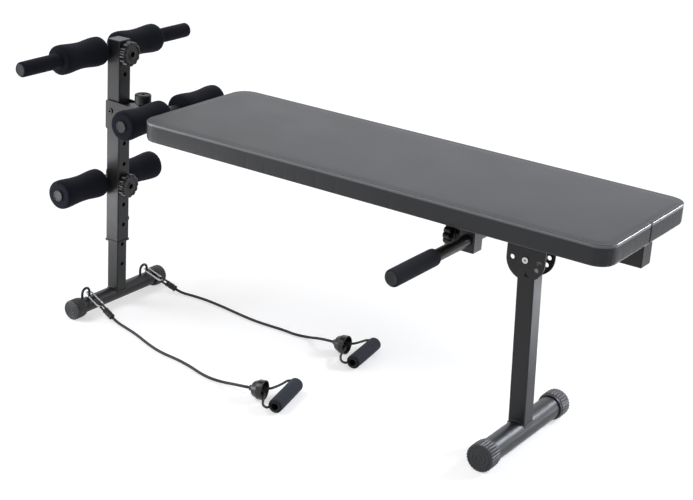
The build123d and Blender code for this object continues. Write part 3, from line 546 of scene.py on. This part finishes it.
def layCord(name, points, radius):
    cord = drawCurve(name, "NURBS", points, radius, roundness=5)
    cord.data.use_fill_caps = True
    spline = cord.data.splines[0]
    spline.order_u = 3
    spline.use_endpoint_u = True
    spline.resolution_u = 14
    return cord


def cordPoints(lay):
    loop = loopFrame(lay)
    cup = cupFrame(lay)
    leaves = cordSizes["loopLength"] + cordSizes["sleeveLength"]
    straight = cordSizes["cordExit"]
    start = [loop @ Vector((along, 0, 0)) for along in (leaves, leaves + straight)]
    end = [cup @ Vector((0, 0, height)) for height in (-straight, 0)]
    return start + offPost(lay["route"]) + end


def strapPoints(lay):
    size = cordSizes
    cup = cupFrame(lay)
    handle = handleFrame(lay)
    rim = size["cupLength"] + size["strapRadius"]
    wall = size["coreBore"] - size["strapRadius"] - size["seatGap"]
    beside = size["handleHeight"] + size["strapRadius"] + size["strapBend"] / 2
    turnAt = size["coreHalf"] + size["strapBend"]
    start = [cup @ Vector((0, size["cupSpread"], height)) for height in (size["cupFloor"], rim)]
    inHandle = ((-turnAt, beside, 0), (-turnAt, wall, 0), (turnAt, wall, 0), (turnAt, beside, 0))
    through = [handle @ Vector(spot) for spot in inHandle]
    end = [cup @ Vector((0, -size["cupSpread"], height)) for height in (rim, size["cupFloor"])]
    return start + offPost(lay["strapOut"]) + through + offPost(lay["strapBack"]) + end


def loopPoints(lay):  # U round the hook, in the upright plane of the cord
    loop = loopFrame(lay)
    bend = cordSizes["hookWire"] + cordSizes["loopRadius"] + cordSizes["seatGap"]
    length = cordSizes["loopLength"]
    flat = [(length, bend), (length / 2, bend), (0, bend), (-0.8 * bend, bend), (-1.25 * bend, 0)]
    flat += [(x, -z) for x, z in reversed(flat[:-1])]
    return [loop @ Vector((x, 0, z)) for x, z in flat]


# Crimped sleeve on the loop, dome-shaped stop with a thick rim
sleeveSizes = {"radius": 0.0075, "edge": 0.0012, "mouth": 0.0052, "mouthDepth": 0.001, "mouthEdge": 0.0006,
               "crimp": 0.0007, "crimpAt": (0.005, 0.0185), "crimpWidth": 0.0045, "crimpEdge": 0.0005,
               "around": 40}
stopSizes = {"neck": 0.0065, "neckLength": 0.004, "dome": (0.0158, 0.0093), "domeRound": 0.0105,
             "shoulder": 0.0205, "shoulderAt": 0.021, "step": 0.0011, "rim": 0.0219, "wall": 0.0026,
             "floorRadius": 0.0115, "around": 72}


def crimpSleeve(size):
    length = cordSizes["sleeveLength"]
    full = size["radius"]
    waist = full - size["crimp"]
    outline = [(0, 0), (full, 0, size["edge"])]
    for start in size["crimpAt"]:
        for radius, share in ((full, 0), (waist, 0.3), (waist, 0.7), (full, 1)):
            outline.append((radius, start + size["crimpWidth"] * share, size["crimpEdge"]))
    outline += [(full, length - size["mouthDepth"], size["edge"]), (size["mouth"], length, size["mouthEdge"]),
                (0, length)]
    return turnOutline("crimpSleeve", softOutline(outline, closed=False), size["around"])


def domeStop(size):
    length = cordSizes["cupLength"]
    floor = cordSizes["cupFloor"]
    band = size["shoulder"] + size["step"]
    outline = [
        (0, 0), (size["neck"], 0, 0.001), (size["neck"], size["neckLength"], 0.0012),
        (*size["dome"], size["domeRound"]), (size["shoulder"], size["shoulderAt"], 0.0006),
        (band, size["shoulderAt"] + size["step"], 0.0006), (size["rim"], length, 0.0011),
        (size["rim"] - size["wall"], length, 0.0011), (size["shoulder"] - size["wall"], size["shoulderAt"]),
        (size["floorRadius"], floor, 0.002), (0, floor),
    ]
    return turnOutline("domeStop", softOutline(outline, closed=False), size["around"])


def layPullCord(side, lay):
    loop = loopFrame(lay)
    cup = cupFrame(lay)
    downCord = loop.to_3x3() @ Vector((1, 0, 0))
    sleeveFoot = loop @ Vector((cordSizes["loopLength"], 0, 0))
    sleeve = standAt(copyPiece(crimpMaster, "sleeve_" + side), sleeveFoot, downCord)
    stop = standAt(copyPiece(stopMaster, "stop_" + side), cup.translation, lay["aim"])
    handOver(sleeve, "front_stand", "black_plastic", "cord_sleeves")
    handOver(stop, "front_stand", "gloss_black", "cord_stop_" + side)
    route = cordPoints(lay)
    loopRoute = loopPoints(lay)
    cord = layCord("pullCord_" + side, route, cordSizes["cordRadius"])
    eye = layCord("endLoop_" + side, loopRoute, cordSizes["loopRadius"])
    handOver(cord, "front_stand", "elastic_cord", "cord_" + side)
    handOver(eye, "front_stand", "elastic_cord", "cord_loops")


crimpMaster = crimpSleeve(sleeveSizes)
stopMaster = domeStop(stopSizes)
for side, lay in cordRoutes.items():
    layPullCord(side, lay)
for master in (crimpMaster, stopMaster):
    bpy.data.objects.remove(master)
print("cords laid")

# Foam: hourglass leg rollers, straight grips and the sleeves of the cord handles
foamSizes = {"bore": 0.0129, "edge": 0.0068, "lip": 0.0016, "endDrop": 0.0006, "waist": 0.0036,
             "waistSteps": 14, "around": 84, "skinFrom": 1.2, "dents": 0.0011, "dentSize": 0.03,
             "dentLevel": 0.85, "gripEdge": 0.0032, "gripSag": 0.004, "floorGap": 0.0003}


def rollerOutline(radius, half):  # rounded ends, then a sine waist between them
    size = foamSizes
    reach = half - size["edge"]
    end = radius - size["endDrop"]
    outline = [(size["bore"], half, size["lip"]), (end, half, size["edge"])]
    for step in range(1, size["waistSteps"]):
        along = 1 - 2 * step / size["waistSteps"]
        drawn = size["waist"] * math.cos(along * math.pi / 2) ** 2
        outline.append((radius - drawn, along * reach))
    return outline + [(end, -half, size["edge"]), (size["bore"], -half, size["lip"])]


def gripOutline(radius, half, bore=foamSizes["bore"]):
    sag = radius * (1 - foamSizes["gripSag"])
    lip = foamSizes["lip"] / 2
    edge = foamSizes["gripEdge"]
    return [(bore, half, lip), (radius, half, edge), (sag, 0), (radius, -half, edge), (bore, -half, lip)]


def dentFoam(piece, middle, axis, bore):  # shallow uneven dents in the skin, none in the bore
    size = foamSizes
    skin = piece.vertex_groups.new(name="skin")
    for vert in piece.data.vertices:
        off = vert.co - middle
        if (off - axis * off.dot(axis)).length > bore * size["skinFrom"]:
            skin.add([vert.index], 1.0, "REPLACE")
    texture = bpy.data.textures.new("dents_" + piece.name, "CLOUDS")
    texture.noise_scale = size["dentSize"]
    dents = piece.modifiers.new("dents", "DISPLACE")
    dents.texture = texture
    dents.strength = size["dents"]
    dents.mid_level = size["dentLevel"]
    dents.vertex_group = skin.name
    applyModifiers(piece)
    smoothShade(piece, angle=60)


def fitFoam(node, body, makeOutline, paint=None):
    low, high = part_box(node)
    middle = (low + high) / 2
    axis = Vector((0, 1, 0))
    outline = softOutline(makeOutline((high.z - low.z) / 2, (high.y - low.y) / 2))
    piece = standAt(turnOutline("foam_" + node, outline, foamSizes["around"]), middle, axis)
    dentFoam(piece, middle, axis, foamSizes["bore"])
    handOver(piece, body, "foam", node, paint=paint)


def fitHandleFoam(side, lay):
    size = cordSizes
    place = handleFrame(lay)
    axis = place.to_3x3() @ Vector((1, 0, 0))
    radius = size["handleHeight"] - foamSizes["floorGap"]
    outline = softOutline(gripOutline(radius, size["foamHalf"], size["foamBore"]))
    piece = standAt(turnOutline("handleFoam_" + side, outline, foamSizes["around"]), place.translation, axis)
    dentFoam(piece, place.translation, axis, size["foamBore"])
    handOver(piece, "front_stand", "foam", "cord_handle_foam_" + side, paint=gripFoam)
    return piece


def threadStrap(side, lay, foam):  # out of the stop, through the handle and back into the stop
    route = strapPoints(lay)
    strap = layCord("handleStrap_" + side, route, cordSizes["strapRadius"])
    handOver(strap, "front_stand", "elastic_cord", "cord_strap_" + side)


for side, lay in cordRoutes.items():
    for row in ("upper", "lower", "knee"):
        roller = row + "_roller_" + side
        fitFoam(roller, roller, rollerOutline)
    fitFoam("upper_grip_" + side, "post", gripOutline)
    fitFoam("handle_grip_" + side, "bench", gripOutline, paint=gripFoam)
    threadStrap(side, lay, fitHandleFoam(side, lay))
print("foam fitted")

# Grey end plugs of the round bars
plugSizes = {"radius": 0.0134, "head": 0.003, "headEdge": 0.0016, "stem": 0.0112, "depth": 0.018,
             "rim": 0.0024, "dish": 0.0006, "dishEdge": 0.0005, "around": 48}


def barPlug(size):
    inner = size["radius"] - size["rim"]
    dished = size["head"] - size["dish"]
    outline = [
        (0, -size["depth"]), (size["stem"], -size["depth"], 0.001), (size["stem"], 0),
        (size["radius"], 0, 0.0004), (size["radius"], size["head"], size["headEdge"]),
        (inner, size["head"], size["dishEdge"]), (inner - size["dish"], dished, size["dishEdge"]),
        (0, dished),
    ]
    return turnOutline("barPlug", softOutline(outline, closed=False), size["around"])


plugMaster = barPlug(plugSizes)
barEnds = {
    "upper": ("upper_roller_near", "upper_bar", "post", "post_bar_plugs"),
    "lower": ("lower_roller_near", "lower_bar", "post", "post_bar_plugs"),
    "knee": ("knee_roller_near", "knee_bar", "bench", "bench_bar_plugs"),
    "pushUp": ("handle_grip_near", "handle_bar", "bench", "bench_bar_plugs"),
}
for row, (onAxis, bar, body, node) in barEnds.items():
    axis = middleOf(onAxis)
    for side, sign in sides.items():
        end = Vector((axis.x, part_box(bar)[1].y * sign, axis.z))
        plug = standAt(copyPiece(plugMaster, row + "Plug_" + side), end, (0, sign, 0))
        handOver(plug, body, "grey_plastic", node)
bpy.data.objects.remove(plugMaster)
print("bars plugged")

# Ribbed caps of the two base tubes, with rings pressed in the face
capSizes = {"ribs": 26, "ribDepth": 0.0017, "ribFrom": 0.9, "perRib": 6, "endWall": 0.005, "collar": 0.0055,
            "collarDrop": 0.0016, "step": 0.0012, "rings": (0.80, 0.52, 0.26), "ringWidth": 0.0022,
            "ringDepth": 0.0009, "ringSlope": 0.0004, "ringEdge": 0.0003, "edge": 0.0022}
feet = {
    "front": {"node": "front_base_caps", "body": "front_stand", "tube": 0.0175, "length": 0.032},
    "rear": {"node": "rear_base_caps", "body": "rear_leg", "tube": 0.025, "length": 0.038},
}


def footCap(foot, radius, size):
    length = foot["length"]
    collar = radius - size["collarDrop"]
    wallFoot = length - size["endWall"]
    outline = [
        (0, wallFoot), (foot["tube"], wallFoot), (foot["tube"], 0, 0.0004), (collar, 0, 0.0008),
        (collar, size["collar"], 0.0004), (radius, size["collar"] + size["step"], 0.0008),
        (radius, length, size["edge"]),
    ]
    floor = length - size["ringDepth"]
    for ring in size["rings"]:
        outer = radius * ring
        inner = outer - size["ringWidth"]
        groove = ((outer, length), (outer - size["ringSlope"], floor), (inner + size["ringSlope"], floor),
                  (inner, length))
        outline += [(*corner, size["ringEdge"]) for corner in groove]
    outline.append((0, length))
    cap = turnOutline("footCap", softOutline(outline, closed=False, steps=3), size["ribs"] * size["perRib"])
    ribbed = (size["collar"] + 0.0008, length)
    drawLobes(cap, size["ribs"], size["ribDepth"], radius * size["ribFrom"], ribbed, power=0.6)
    smoothShade(cap, angle=50)
    return cap


for name, foot in feet.items():
    low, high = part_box(foot["node"])
    middle = (low + high) / 2
    capMaster = footCap(foot, (high.z - low.z) / 2, capSizes)
    for side, sign in sides.items():
        spot = Vector((middle.x, sign * (high.y - foot["length"]), middle.z))
        cap = standAt(copyPiece(capMaster, name + "Cap_" + side), spot, (0, sign, 0))
        handOver(cap, foot["body"], "black_plastic", foot["node"], paint=capPlastic)
    bpy.data.objects.remove(capMaster)
print("feet capped")

# Weld beads: posts on the base tubes, handle post under the beam
beadSizes = {"radius": 0.0022, "ripple": 0.2, "ripplePace": 1.9, "step": 0.002, "corner": 0.003,
             "innerPostHalf": 0.016, "legHalf": 0.019, "legLean": 2.5, "handlePostHalf": 0.018}


def squarePath(half, size):  # points round a square with rounded corners
    run = half - size["corner"]
    count = int(2 * run / size["step"])
    side = [Vector((half, -run + 2 * run * step / count)) for step in range(count)]
    arc = [Vector((run, run)) + size["corner"] * Vector((math.cos(angle), math.sin(angle)))
           for angle in (0, math.pi / 8, math.pi / 4, 3 * math.pi / 8)]
    return [Matrix.Rotation(turn * math.pi / 2, 2) @ spot for turn in range(4) for spot in side + arc]


def layBead(name, body, path):
    bead = drawCurve(name, "POLY", path, beadSizes["radius"], roundness=2)
    spline = bead.data.splines[0]
    spline.use_cyclic_u = True
    for index, point in enumerate(spline.points):
        point.radius = 1 + beadSizes["ripple"] * math.sin(index * beadSizes["ripplePace"])
    takePiece(bead)
    bpy.ops.object.convert(target="MESH")
    smoothShade(bead, angle=70)
    handOver(bead, body, "black_steel")


def ontoTube(half, tube, axis, lean=0.0):  # where a square post meets a round tube along Y
    path = []
    for spot in squarePath(half, beadSizes):
        rise = math.sqrt(max(tube ** 2 - spot.x ** 2, 0))
        path.append((axis.x + spot.x - rise * math.tan(math.radians(lean)), spot.y, axis.z + rise))
    return path


frontAxis = Vector((postX, 0, middleOf("front_base_caps").z))
layBead("frontWeld", "front_stand", ontoTube(beadSizes["innerPostHalf"], feet["front"]["tube"], frontAxis))
rearAxis = middleOf("rear_base_caps")
rearPath = ontoTube(beadSizes["legHalf"], feet["rear"]["tube"], rearAxis, beadSizes["legLean"])
layBead("rearWeld", "rear_leg", rearPath)
handleX = middleOf("handle_grip_near").x
handlePath = squarePath(beadSizes["handlePostHalf"], beadSizes)
layBead("handlePostWeld", "bench", [(handleX + spot.x, spot.y, beamFoot) for spot in handlePath])
print("welds laid")

# Hand knobs: lobed clamp knobs, fluted pull knob and the knob of the height pin
knobSizes = {"lobes": 12, "perLobe": 8, "radius": 0.0285, "lobeDepth": 0.0046, "lobeFrom": 0.019,
             "web": 0.020, "hub": 0.012, "hubHeight": 0.004, "foot": 0.0002, "top": 0.022, "bore": 0.0052,
             "eye": 0.0065, "eyeDepth": 0.008, "dish": 0.0016, "dishRim": 0.0215,
             "dishFloor": (0.0200, 0.0105), "boss": 0.0092}
pullSizes = {"flutes": 20, "perFlute": 6, "fluteDepth": 0.0009, "fluteFrom": 0.93, "chamfer": 0.003,
             "eye": 0.0045, "eyeDepth": 0.008, "dish": 0.0008, "dishRim": 0.72, "dishFloor": 0.68}


def starKnob(size):
    top = size["top"]
    dished = top - size["dish"]
    eyeFloor = top - size["eyeDepth"]
    hubTop = size["hubHeight"]
    outline = [
        (size["bore"], size["foot"]), (size["hub"], size["foot"], 0.0006), (size["hub"], hubTop, 0.0008),
        (size["web"], hubTop, 0.001), (size["radius"], hubTop + 0.0015, 0.0028),
        (size["radius"], top, 0.0042), (size["dishRim"], top, 0.0012), (size["dishFloor"][0], dished, 0.0012),
        (size["dishFloor"][1], dished, 0.001), (size["boss"], top, 0.0008),
        (size["eye"], top, 0.0005), (size["eye"], eyeFloor), (size["bore"], eyeFloor),
    ]
    knob = turnOutline("starKnob", softOutline(outline, steps=4), size["lobes"] * size["perLobe"])
    lobed = (hubTop - 0.001, top + 0.001)
    drawLobes(knob, size["lobes"], size["lobeDepth"], size["lobeFrom"], lobed, power=0.75)
    smoothShade(knob, angle=50)
    return knob


def flutedKnob(name, knobSize, size):
    radius = knobSize["radius"]
    top = knobSize["height"]
    pin = knobSize["pin"]
    pinFoot = -knobSize["pinLength"]
    dished = top - size["dish"]
    eyeFloor = top - size["eyeDepth"]
    outline = [
        (0, pinFoot), (pin, pinFoot, 0.0006), (pin, 0), (radius - size["chamfer"], 0, 0.0008),
        (radius, size["chamfer"], 0.0012), (radius, top, 0.0024),
        (radius * size["dishRim"], top, 0.0008), (radius * size["dishFloor"], dished, 0.0006),
        (size["eye"], dished, 0.0005), (size["eye"], eyeFloor), (0, eyeFloor),
    ]
    knob = turnOutline(name, softOutline(outline, closed=False, steps=4), size["flutes"] * size["perFlute"])
    fluted = (0.004, top - 0.003)
    drawLobes(knob, size["flutes"], size["fluteDepth"], radius * size["fluteFrom"], fluted, power=0.6)
    smoothShade(knob, angle=45)
    return knob


knobMaster = starKnob(knobSizes)
for row, axis in (("upper", 1), ("lower", 1), ("handle", -1)):
    low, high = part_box(row + "_knob")
    seat = low.x - knobSizes["foot"] if axis > 0 else low.x + knobSizes["top"]
    middle = (low + high) / 2
    knob = standAt(copyPiece(knobMaster, row + "StarKnob"), (seat, 0, middle.z), (axis, 0, 0))
    handOver(knob, row + "_knob", "black_plastic", row + "_knob", paint=knobPlastic)
bpy.data.objects.remove(knobMaster)
pullKnobs = {
    "pull_pin": {"radius": 0.019, "height": 0.024, "pin": 0.0049, "pinLength": 0.0082, "axis": (0, 0, 1)},
    "height_pin": {"radius": 0.0088, "height": 0.009, "pin": 0.004, "pinLength": 0.008, "axis": (0, 1, 0)},
}
for node, size in pullKnobs.items():
    axis = Vector(size["axis"])
    low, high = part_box(node)
    seat = (low + high) / 2
    seat += axis * ((high - seat).dot(axis) - size["height"])
    knob = flutedKnob(node + "Knob", size, pullSizes)
    handOver(standAt(knob, seat, axis), node, "black_plastic", node)
print("knobs fitted")

# Pad: boxed cover over foam, swelled, with a crisp upper edge, creased sides and a seam down the rear end
padSizes = {
    "corner": 0.036, "cornerSteps": 12, "edge": 0.0045, "footEdge": 0.0045, "edgeSteps": 5,
    "front": 0.0075, "rear": 0.0058, "nearSide": -0.0022, "farSide": -0.0008, "foot": 0.0052,
    "sideTop": 0.0374, "voxel": 0.005, "crown": 0.0004, "crownReach": 0.06, "pressure": 4.0, "frames": 20,
    "cap": 0.0008, "sewnBand": 0.007, "crispReach": 0.0075, "crispness": 5.0, "nudge": 0.0001,
    "boardInset": 0.0102, "boardLift": 0.006, "boardBand": 0.001, "beamHalf": 0.024, "beamGap": 0.0006,
    "beamFade": 0.5, "creaseDepth": 0.0003, "creaseHeight": 0.85, "creaseFrom": 0.6, "creaseFade": 0.7,
    "creaseWaves": ((1.0, 147, 0.0), (0.7, 253, 1.3), (0.5, 391, 0.4)), "flatFrom": 0.8,
    "pleats": 9, "pleatDepth": 0.0012, "seamDepth": 0.0024, "seamWidth": 0.0024, "seamReach": 0.012,
    "seamBand": 0.008, "seamFoot": 0.003, "seamFade": 1.3,
}


def insetOf(spot, low, high, corner):  # how far a spot lies inside the rounded outline
    half = (high - low) / 2
    off = spot - (high + low) / 2
    x = abs(off.x) - half.x + corner
    y = abs(off.y) - half.y + corner
    return corner - math.hypot(max(x, 0), max(y, 0)) - min(max(x, y), 0)


def boxPad(size, low, high):
    pad = startMesh("padCover", bpy.ops.mesh.primitive_cube_add)
    bpy.ops.transform.resize(value=high - low)
    bpy.ops.transform.translate(value=(high + low) / 2)
    pick(pad, "EDGE", lambda edge: abs(edge.verts[0].co.z - edge.verts[1].co.z) > 0.01)
    bpy.ops.mesh.bevel(offset=size["corner"], segments=size["cornerSteps"])
    for height, offset in ((high.z, size["edge"]), (low.z, size["footEdge"])):
        pick(pad, "EDGE", lambda edge: all(abs(vert.co.z - height) < 1e-5 for vert in edge.verts))
        bpy.ops.mesh.bevel(offset=offset, segments=size["edgeSteps"])
    setMode("OBJECT")
    takePiece(pad)
    pad.data.remesh_voxel_size = size["voxel"]
    bpy.ops.object.voxel_remesh()
    return pad


def crownPad(pad, size, low, high):
    for vert in pad.data.vertices:
        share = min(1, max(0, insetOf(vert.co, low, high, size["corner"]) / size["crownReach"]))
        if vert.co.z > (low.z + high.z) / 2:
            vert.co.z += size["crown"] * share * (2 - share)


def swellPad(pad, size, low, high):  # cloth under pressure, held at foot and upper edge, moves up to the cap
    def isHeld(spot):
        band = size["sewnBand"]
        atEdge = spot.z > high.z - band and insetOf(spot, low, high, size["corner"]) < band
        return atEdge or spot.z < low.z + size["footEdge"]

    held = pad.vertex_groups.new(name="held")
    held.add([vert.index for vert in pad.data.vertices if isHeld(vert.co)], 1.0, "REPLACE")
    before = [vert.co.copy() for vert in pad.data.vertices]
    cloth = pad.modifiers.new("swell", "CLOTH")
    cloth.settings.use_pressure = True
    cloth.settings.uniform_pressure_force = size["pressure"]
    cloth.settings.vertex_group_mass = held.name
    cloth.settings.effector_weights.gravity = 0
    cloth.point_cache.frame_end = size["frames"]
    for step in range(1, size["frames"] + 1):
        scene.frame_set(step)
    applyModifiers(pad)
    scene.frame_set(1)
    for vert, start in zip(pad.data.vertices, before):
        move = vert.co - start
        if move.length > size["cap"]:
            vert.co = start + move.normalized() * size["cap"]


def crispEdge(pad, size, low, high):  # the cover is tight over the upper edge, its profile is squarer there
    def inset(spot):
        return insetOf(spot, low, high, size["corner"])

    reach = size["crispReach"]
    power = size["crispness"]
    nudges = (Vector((size["nudge"], 0, 0)), Vector((0, size["nudge"], 0)))
    for vert in pad.data.vertices:
        across = reach - inset(vert.co)
        up = reach - (high.z - vert.co.z)
        if across <= 0 or up <= 0:
            continue
        grow = math.hypot(across, up) / (across ** power + up ** power) ** (1 / power) - 1
        slope = Vector([inset(vert.co - nudge) - inset(vert.co + nudge) for nudge in nudges])
        if slope.length > 0:
            slope.normalize()
        vert.co += Vector((slope.x * across, slope.y * across, up)) * grow


def creaseSides(pad, size, low, high):  # pulled down to the staples, and gathered at the lower corners
    half = (high - low) / 2
    middle = (high + low) / 2
    normals = [vert.normal.copy() for vert in pad.data.vertices]  # a moved vert makes Blender redo them
    for vert, normal in zip(pad.data.vertices, normals):
        lower = 1 - min(1, max(0, (vert.co.z - low.z) / (size["creaseHeight"] * (high.z - low.z))))
        if abs(normal.z) > size["flatFrom"] or lower == 0:
            continue
        off = vert.co - middle
        corner = Vector((abs(off.x) - half.x + size["corner"], abs(off.y) - half.y + size["corner"]))
        if corner.x > 0 and corner.y > 0:
            around = math.atan2(corner.y, corner.x) / (math.pi / 2)
            fold = math.sin(around * math.pi) * abs(math.sin(around * math.pi * size["pleats"] / 2))
            pull = size["pleatDepth"] * fold
        else:
            along = vert.co.x if abs(normal.y) > abs(normal.x) else vert.co.y
            wave = sum(share * math.sin(along * pace + shift) for share, pace, shift in size["creaseWaves"])
            pull = size["creaseDepth"] * max(0, wave - size["creaseFrom"])
        vert.co -= normal * pull * lower ** size["creaseFade"]


def sewSeam(pad, size, end, foot):  # groove down the rear end and over its upper edge
    takePiece(pad)
    setMode("EDIT")

    def nearSeam(face):
        middle = face.calc_center_median()
        return abs(middle.y) < size["seamBand"] and middle.x > end - 2 * size["seamReach"] and middle.z > foot

    pick(pad, "FACE", nearSeam)
    bpy.ops.mesh.subdivide(number_cuts=2, smoothness=0)
    setMode("OBJECT")
    normals = [vert.normal.copy() for vert in pad.data.vertices]
    for vert, normal in zip(pad.data.vertices, normals):
        depth = size["seamDepth"] * math.exp(-(vert.co.y / size["seamWidth"]) ** 2)
        onTop = min(1, max(0, (end - vert.co.x) / size["seamReach"]))
        if depth > 1e-5 and onTop < 1 and vert.co.z > foot:
            vert.co -= normal * depth * (1 - onTop) ** size["seamFade"]


def clearBoard(pad, size, low, high):  # the underside lies above the board, and becomes one face there
    level = low.z + size["foot"] + size["boardLift"]
    for vert in pad.data.vertices:
        inset = insetOf(vert.co, low, high, size["corner"])
        if vert.co.z < low.z + size["boardBand"] and inset > size["boardInset"]:
            vert.co.z = level
    takePiece(pad)
    setMode("EDIT")
    pick(pad, "FACE", lambda face: all(abs(vert.co.z - level) < 1e-5 for vert in face.verts))
    bpy.ops.mesh.delete(type="FACE")
    pick(pad, "EDGE", lambda edge: edge.is_boundary)
    bpy.ops.mesh.edge_face_add()
    setMode("OBJECT")


def clearBeam(pad, size):  # the rim at both ends rises over the beam
    for vert in pad.data.vertices:
        share = 1 - min(1, max(0, (abs(vert.co.y) - size["beamHalf"]) / size["beamHalf"]))
        lift = beamTop + size["beamGap"] - vert.co.z
        if lift > 0:
            vert.co.z += lift * share ** size["beamFade"]


# Hem of the cover turned in under the board, and its staples
hemSizes = {"outer": 0.007, "width": 0.027, "corner": 0.028, "cuts": 30, "fray": 0.0016,
            "frayWaves": (61, 23, 57), "gap": 0.0002, "thick": 0.001, "staple": (0.011, 0.001, 0.0008),
            "stapleEdge": 0.3, "stapleSink": 0.4, "stapleEvery": 0.045, "stapleInset": 0.021,
            "stapleFrom": 0.05}


def foldHem(size, low, high):
    hem = startMesh("padHem", bpy.ops.mesh.primitive_plane_add)
    span = high - low
    bpy.ops.transform.resize(value=(span.x - 2 * size["outer"], span.y - 2 * size["outer"], 1))
    bpy.ops.transform.translate(value=((low.x + high.x) / 2, (low.y + high.y) / 2, low.z - size["gap"]))
    bpy.ops.mesh.bevel(offset=size["corner"], segments=8, affect="VERTICES")
    pick(hem, "EDGE", lambda edge: edge.calc_length() > 0.1)
    bpy.ops.mesh.subdivide(number_cuts=size["cuts"])
    bpy.ops.mesh.select_mode(type="FACE")
    bpy.ops.mesh.select_all(action="SELECT")
    bpy.ops.mesh.inset(thickness=size["width"], use_even_offset=True)
    bpy.ops.mesh.delete(type="FACE")
    setMode("OBJECT")
    first, second, third = size["frayWaves"]
    for vert in hem.data.vertices:  # the cut edge isn't quite straight
        if insetOf(vert.co, low, high, size["corner"]) > size["outer"] + size["width"] / 2:
            vert.co.x += size["fray"] * math.sin(vert.co.y * first + vert.co.x * second)
            vert.co.y += size["fray"] * math.sin(vert.co.x * third + 0.8)
    cloth = hem.modifiers.new("cloth", "SOLIDIFY")
    cloth.thickness = size["thick"]
    applyModifiers(hem)
    return hem


def stapleHem(size, low, high):
    master = startMesh("stapleMaster", bpy.ops.mesh.primitive_cube_add)
    bpy.ops.transform.resize(value=size["staple"])
    thick = size["staple"][2]
    bpy.ops.mesh.bevel(offset=thick * size["stapleEdge"], segments=1)
    setMode("OBJECT")
    level = low.z - size["gap"] - size["thick"] - thick * size["stapleSink"]
    inset = size["stapleInset"]
    staples = []
    for along, across in ((0, 1), (1, 0)):
        run = high[along] - low[along] - 2 * size["stapleFrom"]
        count = int(run / size["stapleEvery"])
        for step in range(count + 1):
            for edge in (low[across] + inset, high[across] - inset):
                place = [0, 0, level]
                place[along] = low[along] + size["stapleFrom"] + step * run / count
                place[across] = edge
                staple = copyPiece(master, "hemStaple")
                staple.matrix_world = Matrix.Translation(place) @ turnAbout("Z", 90 * along)
                staples.append(staple)
    bpy.data.objects.remove(master)
    clearSelection()
    for staple in staples:
        staple.select_set(True)
    bpy.context.view_layer.objects.active = staples[0]
    bpy.ops.object.join()
    row = bpy.context.object
    row.name = "hemStaples"
    bpy.ops.object.transform_apply(location=True, rotation=True, scale=True)
    return row


low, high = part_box("pad_cushion")
padLow = low + Vector((padSizes["front"], padSizes["nearSide"], -padSizes["foot"]))
padHigh = Vector((high.x - padSizes["rear"], high.y - padSizes["farSide"], low.z + padSizes["sideTop"]))
pad = boxPad(padSizes, padLow, padHigh)
crownPad(pad, padSizes, padLow, padHigh)
swellPad(pad, padSizes, padLow, padHigh)
pad.modifiers.new("smoother", "SUBSURF").levels = 1
applyModifiers(pad)
crispEdge(pad, padSizes, padLow, padHigh)
creaseSides(pad, padSizes, padLow, padHigh)
sewSeam(pad, padSizes, max(vert.co.x for vert in pad.data.vertices), padLow.z + padSizes["seamFoot"])
clearBoard(pad, padSizes, padLow, padHigh)
clearBeam(pad, padSizes)
takePiece(pad)
bpy.ops.object.shade_smooth()
hem = foldHem(hemSizes, low, high)
hem.select_set(True)
pad.select_set(True)
bpy.context.view_layer.objects.active = pad
bpy.ops.object.join()
handOver(stapleHem(hemSizes, low, high), "bench", "zinc_steel")
handOver(pad, "bench", "vinyl", "pad_cushion")
print("pad covered,", len(pad.data.polygons), "faces")
